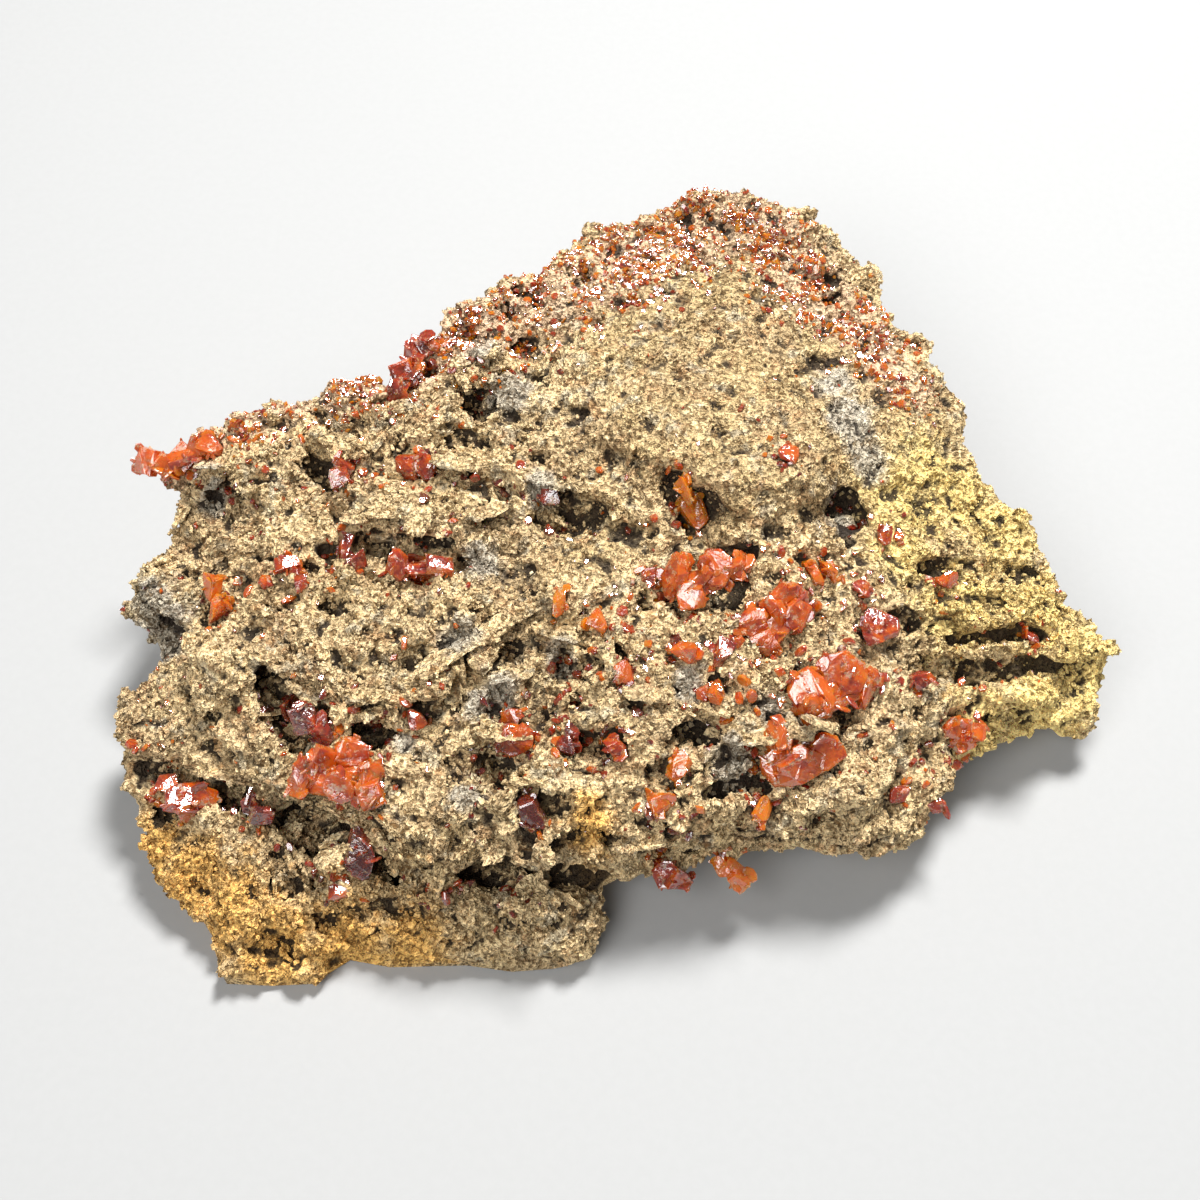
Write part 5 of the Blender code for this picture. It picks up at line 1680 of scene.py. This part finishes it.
@dataclass
class CurledPlates:
    """Thin curled limonite plates: lips over the hollows and small flakes between them."""

    flakes: int = 260
    flake_kinds: int = 4
    flake_sizes: tuple = (0.7, 1.9)
    flake_lean: float = 0.42
    flake_rise: float = 0.25
    level_tilt: float = 12.0
    tilt_share: float = 0.7
    set_back: float = 0.7
    thickness: float = 0.3
    tone: float = 0.55
    seed: int = 17

    def build(self, surface: Surface) -> bpy.types.Object:
        """Sets the plates on the stone.

        Args:
            surface: The stone's skin.

        Returns:
            All the plates in one piece.
        """
        rng = np.random.default_rng(self.seed)
        heap = Heap()
        for number, (x, y, z, length, width, turn, tilt) in enumerate(LIPS):
            points, faces = self.plate_shape(100 + number, length / 2, width / 2, 22, 8)
            frame = Matrix.Rotation(math.radians(turn), 3, "Z")
            frame = frame @ Matrix.Rotation(math.radians(self.level_tilt - self.tilt_share * tilt), 3, "X")
            heap.add(points @ np.array(frame).T + np.array([x, y + self.set_back, z]), faces)
        places, normals = self.flake_spots(surface, rng)
        for number in range(self.flake_kinds):
            shape = self.plate_shape(200 + number, 1.0, 0.7, 5, 4)
            rows = slice(number, None, self.flake_kinds)
            leaning = unit(normals[rows] + rng.normal(0, self.flake_lean, (len(normals[rows]), 3)))
            sizes = rng.uniform(*self.flake_sizes, (len(leaning), 1)) * np.array([[1.0, 1.0, 0.8]])
            turns = facing_turns(leaning, rng.uniform(0, 2 * math.pi, len(leaning)))
            heap.add(*place_copies(shape, turns, sizes, places[rows] + normals[rows] * self.flake_rise))
        piece = heap.piece("curled_plates")
        finish_small_stone(piece, np.concatenate(heap.points), np.full(heap.size, self.tone))
        return piece

    def flake_spots(self, surface: Surface, rng: np.random.Generator) -> tuple:
        """Picks places for the small flakes, mostly near the hollows.

        Args:
            surface: The stone's skin.
            rng: The seeded source of chance.

        Returns:
            The places and the skin's normals there.
        """
        around = near(surface.middles, tuple((x, y, 4.5) for x, y, _ in CAVITY_PLACES))
        facing = smooth_step(0.0, 0.3, surface.normals[:, 2]) * smooth_step(3.0, 6.0, surface.middles[:, 2])
        return surface.spots((0.06 + around) * facing, self.flakes, rng)

    def plate_shape(self, seed: int, half_length: float, half_width: float, across: int, along: int) -> tuple:
        """Models one curled plate with a ragged outline.

        Args:
            seed: Which plate is made.
            half_length: Half its length.
            half_width: Half its width.
            across: How many squares lie along its length.
            along: How many squares lie across its width.

        Returns:
            Its vertices in millimetres and its triangles.
        """
        deselect_all()
        bpy.ops.mesh.primitive_grid_add(x_subdivisions=across, y_subdivisions=along, size=2.0)
        plate = bpy.context.view_layer.objects.active
        points = points_of(plate) * MM
        u, v = points[:, 0].copy(), points[:, 1].copy()
        seeds = np.full(len(u), seed)
        broad = StoneNoise.soft(np.stack([u * 2.3, v * 2.3, seeds], axis=1), 0.8, seed)
        fine = StoneNoise.soft(np.stack([u * half_length, v, seeds], axis=1), 0.7, seed + 2)
        ragged = 1 + 0.3 * broad + 0.22 * fine
        narrowing = 1.0 - np.abs(u) ** 3 * 0.45
        points[:, 0] = u * half_length * ragged
        points[:, 1] = v * half_width * narrowing * ragged
        curl = 0.35 * half_width * (np.clip(-v, 0, 1) ** 2 - 0.4 * np.clip(v, 0, 1) ** 2)
        spread = np.stack([points[:, 0], points[:, 1], u * 0], axis=1)
        wave = 0.3 * StoneNoise.soft(spread, 2.3, seed + 5) + 0.18 * StoneNoise.soft(spread, 0.8, seed + 6)
        points[:, 2] = curl + wave
        plate.data.vertices.foreach_set("co", points.astype(np.float32).ravel())
        apply_modifier(plate, "SOLIDIFY", thickness=self.thickness, offset=0.0)
        return shape_of(plate)


# ---------------------------------------------------------------- the crystals


TABLET_KINDS = (
    # sides, thickness and bevel against the half width
    (8, 0.7, 0.14), (4, 0.6, 0.12), (6, 0.9, 0.16),
)
CRUST_NODES = ("northwest_rim_crust", "north_edge_crust", "north_crust", "northeast_crust")
NODE_TONES = {
    "bright_orange_tablet": Tone.GLOWING, "orange_blade": Tone.BRIGHT, "orange_tablet": Tone.BRIGHT,
    "edge_lit_blades": Tone.BRIGHT, "front_orange_crystal": Tone.BRIGHT, "west_tip_crystals": Tone.ORANGE_RED,
    "glinting_orange_crystal": Tone.BRIGHT, "lower_edge_orange_crystals": Tone.BRIGHT,
    "long_orange_crystal": Tone.ORANGE_RED, "west_edge_crystals": Tone.BRIGHT,
    "front_hollow_crystals": Tone.ORANGE_RED, "hollow_drop_crystal": Tone.BRIGHT,
    "drop_crystals": Tone.ORANGE_RED, "wing_foot_crystals": Tone.ORANGE_RED,
    "brown_plate": Tone.SHADED, "brown_red_plate": Tone.SHADED, "dark_pocket_crystals": Tone.SHADED,
    "crevice_crystals": Tone.SHADED, "pocket_rods": Tone.SHADED, "slope_plate": Tone.SHADED,
    "round_red_tablet": Tone.SHADED, "pink_red_crystals": Tone.RED, "small_rose_crystal": Tone.RED,
    "twin_tablets": Tone.ORANGE_RED, "red_tablets": Tone.ORANGE_RED, "centre_cluster": Tone.ORANGE_RED,
    "east_cluster": Tone.ORANGE_RED, "west_pocket_crystals": Tone.RED,
}


@dataclass
class CutCrystals:
    """The crystals of the CAD model, with softened edges and a glassy finish."""

    edge_width: float = 0.1
    edge_angle: float = 22.0
    broad_face: float = 5.0
    step_inset: float = 0.2
    step_depth: float = 0.09
    wander_size: float = 1.4
    corner_wander: float = 0.3
    corner_cuts: int = 11
    corner_depth: tuple = (0.35, 0.85)
    deepest_share: float = 0.2
    first_seed: int = 900
    most_stray: float = 0.6

    def build(self, nodes: list) -> list:
        """Makes a finished crystal for each CAD node.

        Args:
            nodes: The names of the crystal nodes.

        Returns:
            The finished crystals.
        """
        made = []
        material = WulfeniteFinish().material(WULFENITE_MATERIAL)
        for node in nodes:
            crystal = merged_copy(node, f"{node}_finished")
            with all_selected(crystal):
                bpy.ops.mesh.dissolve_limited(angle_limit=math.radians(1.0))
            self.cut_corners(crystal, len(made))
            self.step_faces(crystal)
            self.roughen(crystal)
            apply_modifier(
                crystal, "BEVEL", width=self.edge_width * MM, segments=2, limit_method="ANGLE",
                angle_limit=math.radians(self.edge_angle), use_clamp_overlap=True,
            )
            self.hold_to_solid(crystal, node)
            crystal.data.shade_flat()
            self.paint_tone(crystal, NODE_TONES.get(node, Tone.RED))
            crystal.data.materials.append(material)
            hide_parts(node)
            made.append(crystal)
        return made

    def cut_corners(self, crystal: bpy.types.Object, seed: int) -> None:
        """Takes the outermost corners off with small flat cuts, so that outlines are irregular.

        Args:
            crystal: The crystal.
            seed: Which set of directions is used.
        """
        rng = np.random.default_rng(self.first_seed + seed)
        for direction in rng.normal(size=(self.corner_cuts, 3)):
            direction /= np.linalg.norm(direction)
            reach = points_of(crystal) @ direction
            depth = min(rng.uniform(*self.corner_depth), self.deepest_share * (reach.max() - reach.min()))
            spot = Vector(direction * (reach.max() - depth)) * MM
            with all_selected(crystal):
                bpy.ops.mesh.bisect(plane_co=spot, plane_no=direction, use_fill=True, clear_outer=True)

    def step_faces(self, crystal: bpy.types.Object) -> None:
        """Gives the broad faces a low growth step inside their rim.

        Args:
            crystal: The crystal.
        """
        for polygon in crystal.data.polygons:
            polygon.select = polygon.area > self.broad_face * MM**2
        choose(crystal)
        bpy.ops.object.mode_set(mode="EDIT")
        bpy.ops.mesh.select_mode(type="FACE")
        bpy.ops.mesh.inset(thickness=self.step_inset * MM, depth=self.step_depth * MM, use_individual=True)
        bpy.ops.object.mode_set(mode="OBJECT")

    def hold_to_solid(self, crystal: bpy.types.Object, node: str) -> None:
        """Draws in any corner that the bevel threw far from the solid.

        Args:
            crystal: The finished crystal.
            node: The CAD node that it stands for.
        """
        solid = points_over(bpy.data.objects[node], 0.3, np.random.default_rng(7))
        tree = tree_of(solid)
        points = points_of(crystal)
        for row, point in enumerate(points):
            nearest, _, away = tree.find(point)
            if away > self.most_stray:
                points[row] = nearest
        set_points(crystal, points)

    def roughen(self, crystal: bpy.types.Object) -> None:
        """Moves the corners a little, so that no outline is quite regular.

        Args:
            crystal: The crystal.
        """
        points = points_of(crystal)
        shift = shifts(points, self.wander_size, Pattern.CORNERS)
        set_points(crystal, points + shift * self.corner_wander)

    def paint_tone(self, crystal: bpy.types.Object, tone: Tone) -> None:
        """Stores the crystal's tone, which differs a little from face to face and is lighter at rims, as
        painted light.

        Args:
            crystal: The crystal.
            tone: How light it is as a whole.
        """
        points, normals = points_of(crystal), normals_of(crystal)
        by_place = 0.22 * StoneNoise.soft(points, 2.2, Pattern.TONE_BY_PLACE)
        drift = by_place + 0.2 * StoneNoise.soft(normals * 3.0, 1.0, Pattern.TONE_BY_FACE)
        proud = -LimoniteRock.depth_below(points, normals, edges_of(crystal), 2)
        # Painted light: the proud rims are made lighter, as if lit through their thin edges.
        paint(crystal, "tone", tone.value + drift + 0.3 * smooth_step(0.05, 0.4, proud))


def tablet_shape(sides: int, thickness: float, bevel: float) -> tuple:
    """Models one tablet of four, six or eight sides, about two units across.

    Args:
        sides: How many sides it has.
        thickness: Its thickness against its half width.
        bevel: How wide its bevelled rim is, or 0 for a sharp rim.

    Returns:
        Its vertices and triangles.
    """
    deselect_all()
    bpy.ops.mesh.primitive_cylinder_add(vertices=sides, radius=1.0, depth=thickness, end_fill_type="NGON")
    tablet = bpy.context.view_layer.objects.active
    if bevel:
        apply_modifier(
            tablet, "BEVEL", width=bevel, segments=1, limit_method="ANGLE", angle_limit=math.radians(60)
        )
    return shape_of(tablet)


@dataclass(frozen=True)
class Sowing:
    """One lot of small tablets that is scattered over a part of the stone.

    Half widths are in millimetres. Glinting is the share whose flat faces catch the light.
    """

    name: str
    weights: Points
    count: int
    half: tuple
    tones: tuple
    glinting: float = 0.16
    bevelled: bool = True


@dataclass
class SmallCrystals:
    """Small wulfenite tablets: the dense crust of the back rim and those scattered over the stone."""

    crust: int = 5000
    lining: int = 420
    scattered: int = 170
    companions: int = 650
    glitter: int = 380
    sloping: int = 110
    intergrown_spacing: float = 1.7
    intergrown_half: tuple = (0.3, 1.25)
    intergrown_flatness: float = 0.45
    placed_half: tuple = (0.55, 1.05)
    seed: int = 29
    lean: float = 0.55
    stand_out: float = 0.12
    # halfway between the light and the camera
    glint_normal: tuple = (0.114, -0.074, 0.991)

    def build(self, surface: Surface, large: list, crystal_points: Points) -> list:
        """Sets the small crystals on the stone.

        Args:
            surface: The stone's skin.
            large: The large crystals, which have small ones grown into them.
            crystal_points: Points on the large crystals, which some small ones stand beside.

        Returns:
            The pieces.
        """
        rng = np.random.default_rng(self.seed)
        made = [self.scatter(sowing, surface, rng) for sowing in self.sowings(surface, crystal_points)]
        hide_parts(*CRUST_NODES)
        made.append(self.intergrown(surface, large, rng))
        made.append(self.placed(surface, rng))
        made.append(self.glints(surface, rng))
        for piece in made:
            piece.data.materials.append(bpy.data.materials[WULFENITE_MATERIAL])
        return made

    def sowings(self, surface: Surface, crystal_points: Points) -> tuple:
        """Works out where each lot of scattered tablets is wanted.

        Args:
            surface: The stone's skin.
            crystal_points: Points on the large crystals.

        Returns:
            The lots, with the crust of the rim first.
        """
        middles = surface.middles
        up = smooth_step(-0.2, 0.2, surface.normals[:, 2])
        crust = near(middles, CRUST_PLACES) ** 1.3 * up * smooth_step(15.0, 20.0, middles[:, 2])
        crust *= 0.12 + smooth_step(-0.2, 0.35, StoneNoise.layered(middles, 3.0, 2, Pattern.CRUST))
        crust *= 1.0 - 0.55 * smooth_step(19.0, 27.0, middles[:, 0])
        lining = np.zeros(len(middles))
        for place in CAVITY_PLACES:
            away = np.linalg.norm(middles - np.array(place), axis=1)
            lining += np.exp(-((away / 2.6) ** 2))
        beside = np.exp(-(((nearest_distance(middles, crystal_points) - 0.7) / 0.8) ** 2)) * up
        front = up * smooth_step(10.0, 14.0, middles[:, 2])
        glitter = near(middles, GLITTER_PLACES) * up
        slope = near(middles, RICH_PLACES) * up
        return (
            Sowing("rim_crust_tablets", crust, self.crust, (0.13, 0.58), (0.2, 1.05), 0.3, bevelled=False),
            Sowing("hollow_lining_crystals", lining, self.lining, (0.3, 1.0), (0.0, 0.4)),
            Sowing("grown_on_crystals", beside, self.companions, (0.2, 0.95), (0.1, 0.9)),
            Sowing("scattered_crystals", front, self.scattered, (0.2, 0.6), (0.05, 0.6)),
            Sowing("glitter_tablets", glitter, self.glitter, (0.15, 0.5), (0.3, 0.9), 1.0),
            Sowing("slope_crystals", slope, self.sloping, (0.35, 1.1), (0.25, 1.0)),
        )

    def scatter(self, sowing: Sowing, surface: Surface, rng: np.random.Generator) -> bpy.types.Object:
        """Scatters one lot of tablets over the stone.

        Args:
            sowing: The lot.
            surface: The stone's skin.
            rng: The seeded source of chance.

        Returns:
            The piece.
        """
        count = sowing.count
        places, normals = surface.spots(sowing.weights, count, rng)
        leaning = normals + rng.normal(0, self.lean, (count, 3))
        glinting = rng.random(count) < sowing.glinting
        leaning[glinting] = np.array(self.glint_normal) + rng.normal(0, 0.04, (int(glinting.sum()), 3))
        smallest, largest = sowing.half
        radii = smallest + (largest - smallest) * rng.random(count) ** 1.8
        shades = rng.uniform(*sowing.tones, count)
        places = places + normals * self.stand_out
        return self.joined(sowing.name, places, unit(leaning), radii, shades, rng, bevelled=sowing.bevelled)

    def joined(
        self, name: str, places: Points, facing: Points, radii: Points, tones: Points,
        rng: np.random.Generator, flatness: float = 1.0, bevelled: bool = True,
    ) -> bpy.types.Object:
        """Joins placed tablets of three shapes into one piece.

        Args:
            name: The piece's name.
            places: The tablets' middles.
            facing: The directions of their flat faces.
            radii: Their half widths.
            tones: Their tones.
            rng: The seeded source of chance.
            flatness: How thick they are against the usual tablets.
            bevelled: Whether their rims are bevelled.

        Returns:
            The piece.
        """
        shapes = [
            tablet_shape(sides, thickness, bevel if bevelled else 0.0)
            for sides, thickness, bevel in TABLET_KINDS
        ]
        heap, painted = Heap(), []
        for kind, shape in enumerate(shapes):
            rows = slice(kind, None, len(shapes))
            part = len(places[rows])
            if not part:
                continue
            sizes = radii[rows][:, None] * rng.uniform(0.75, 1.15, (part, 3))
            sizes[:, 1] *= rng.uniform(0.35, 1.0, part)
            sizes[:, 2] *= flatness
            turns = facing_turns(facing[rows], rng.uniform(0, 2 * math.pi, part))
            heap.add(*place_copies(shape, turns, sizes, places[rows]))
            painted.append(np.repeat(tones[rows], len(shape[0])))
        piece = heap.piece(name)
        paint(piece, "tone", np.concatenate(painted))
        return piece

    def intergrown(self, surface: Surface, large: list, rng: np.random.Generator) -> bpy.types.Object:
        """Sets small tablets into the large crystals, where these stand clear of the stone.

        Args:
            surface: The stone's skin.
            large: The large crystals.
            rng: The seeded source of chance.

        Returns:
            The piece.
        """
        skin = tree_of(surface.middles)
        places, tones = [], []
        for crystal in large:
            level = NODE_TONES.get(crystal.name.removesuffix("_finished"), Tone.RED).value
            for spot in points_over(crystal, self.intergrown_spacing, rng):
                middle, row, _ = skin.find(spot)
                if (spot - np.array(middle)) @ surface.normals[row] > -0.15:
                    places.append(spot)
                    tones.append(level + rng.uniform(-0.2, 0.25))
        places = np.array(places)
        facing = rng.normal(0, 0.75, places.shape) + np.array([0.0, -0.45, 0.8])
        smallest, largest = self.intergrown_half
        radii = smallest + (largest - smallest) * rng.random(len(places)) ** 1.7
        return self.joined(
            "intergrown_tablets", places, unit(facing), radii, np.array(tones), rng, self.intergrown_flatness
        )

    def placed(self, surface: Surface, rng: np.random.Generator) -> bpy.types.Object:
        """Sets the small crystals that stand in known places.

        Args:
            surface: The stone's skin.
            rng: The seeded source of chance.

        Returns:
            The piece.
        """
        found = [surface.nearest(place) for place in SMALL_CRYSTAL_PLACES]
        places = np.array([spot + normal * 0.25 for spot, normal in found])
        facing = np.array([normal for _, normal in found]) + rng.normal(0, 0.4, places.shape)
        radii = rng.uniform(*self.placed_half, len(places))
        tones = rng.uniform(0.45, 0.95, len(places))
        return self.joined("small_crystals", places, unit(facing), radii, tones, rng)

    def glints(self, surface: Surface, rng: np.random.Generator) -> bpy.types.Object:
        """Sets the little tablets whose flat faces catch the light.

        Args:
            surface: The stone's skin.
            rng: The seeded source of chance.

        Returns:
            The piece.
        """
        found = [surface.nearest(place[:3]) for place in GLINT_PLACES]
        places = np.array([spot + np.array([0, 0, 0.3]) for spot, _ in found])
        facing = np.array([self.glint_normal] * len(places)) + rng.normal(0, 0.03, places.shape)
        radii = np.array([place[3] / 2 for place in GLINT_PLACES])
        tones = rng.uniform(0.3, 0.7, len(places))
        return self.joined("glint_tablets", places, unit(facing), radii, tones, rng)


# ---------------------------------------------------------------- the studio


@dataclass
class Studio:
    """The floor, the lights and the camera."""

    target: tuple = (-0.0024, -0.0072, 0.018)
    look_down: float = 58.0
    distance: float = 0.2
    field_of_view: float = 40.0
    sensor_width: float = 36.0
    clip_start: float = 0.005
    key_direction: tuple = (0.2, 0.40, 0.895)
    key_distance: float = 0.6
    key_size: float = 0.15
    key_power: float = 7.1
    fill_direction: tuple = (-0.36, -0.52, 0.77)
    fill_distance: float = 0.75
    fill_size: float = 0.45
    fill_power: float = 4.0
    sky_colour: tuple = (0.92, 0.96, 1.0, 1.0)
    sky_strength: float = 0.17
    floor_width: float = 24.0

    def build(self) -> bpy.types.Object:
        """Sets up the floor, the lights, the sky and the camera.

        Returns:
            The floor.
        """
        floor = self.floor()
        lights = (
            ("key_light", self.key_direction, self.key_distance, self.key_size, self.key_power),
            ("overhead_light", self.fill_direction, self.fill_distance, self.fill_size, self.fill_power),
        )
        for light in lights:
            self.area_light(*light)
        world = bpy.data.worlds.new("soft_room")
        world.use_nodes = True
        world.node_tree.nodes["Background"].inputs[0].default_value = self.sky_colour
        world.node_tree.nodes["Background"].inputs[1].default_value = self.sky_strength
        bpy.context.scene.world = world
        bpy.context.scene.view_settings.view_transform = "Standard"
        self.camera()
        return floor

    def floor(self) -> bpy.types.Object:
        """Makes the floor, which is not part of the object.

        Returns:
            The floor.
        """
        deselect_all()
        bpy.ops.mesh.primitive_grid_add(x_subdivisions=8, y_subdivisions=8, size=1.0)
        floor = bpy.context.view_layer.objects.active
        floor.name = "floor"
        with all_selected(floor):
            bpy.ops.transform.resize(value=(self.floor_width, self.floor_width, 1.0))
        floor.data.materials.append(FloorFinish().material())
        return floor

    def area_light(self, name: str, direction: tuple, distance: float, size: float, power: float) -> None:
        """Hangs a soft square light that points at the object.

        Args:
            name: The light's name.
            direction: Where it hangs, seen from the object.
            distance: How far away, in metres.
            size: The length of its side, in metres.
            power: Its power in watts.
        """
        data = bpy.data.lights.new(name, "AREA")
        data.size = size
        data.energy = power
        lamp = bpy.data.objects.new(name, data)
        bpy.context.scene.collection.objects.link(lamp)
        towards = Vector(direction).normalized()
        lamp.location = Vector(self.target) + towards * distance
        lamp.rotation_euler = towards.to_track_quat("Z", "Y").to_euler()

    def camera(self) -> None:
        """Puts the camera in front, looking down at the stone."""
        data = bpy.data.cameras.new("camera")
        data.sensor_width = self.sensor_width
        data.angle = math.radians(self.field_of_view)
        data.clip_start = self.clip_start
        camera = bpy.data.objects.new("camera", data)
        bpy.context.scene.collection.objects.link(camera)
        angle = math.radians(self.look_down)
        back = Vector((0, -math.cos(angle), math.sin(angle))) * self.distance
        camera.location = Vector(self.target) + back
        camera.rotation_euler = (math.radians(90 - self.look_down), 0, 0)
        bpy.context.scene.camera = camera


# ---------------------------------------------------------------- putting it together


def dress(pieces: list) -> None:
    """Hangs finished pieces on the frame's body and logs how many triangles each has.

    Args:
        pieces: The finished pieces.
    """
    for piece in pieces:
        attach(piece, BODY)
        LOG.info("%s: %d triangles", piece.name, len(triangles_of(piece)))


def main() -> None:
    """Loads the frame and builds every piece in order."""
    logging.basicConfig(level=logging.INFO, format="%(message)s")
    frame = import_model()
    Studio().build()
    crystals = sorted(name for name in frame["nodes"] if name not in (LimoniteRock.node, *CRUST_NODES))
    rng = np.random.default_rng(CRYSTAL_POINT_SEED)
    crystal_points = np.concatenate(
        [points_over(frame["nodes"][name], CRYSTAL_POINT_SPACING, rng) for name in crystals]
    )
    rock = LimoniteRock().build(crystals, crystal_points)
    dress([rock])
    surface = Surface((rock,))
    plates = CurledPlates().build(surface)
    dress([plates])
    dress(Crumbs().build(Surface((rock, plates)), crystal_points))
    cut = CutCrystals().build(crystals)
    dress(cut)
    dress(SmallCrystals().build(surface, cut, crystal_points))


if __name__ == "__main__":
    main()
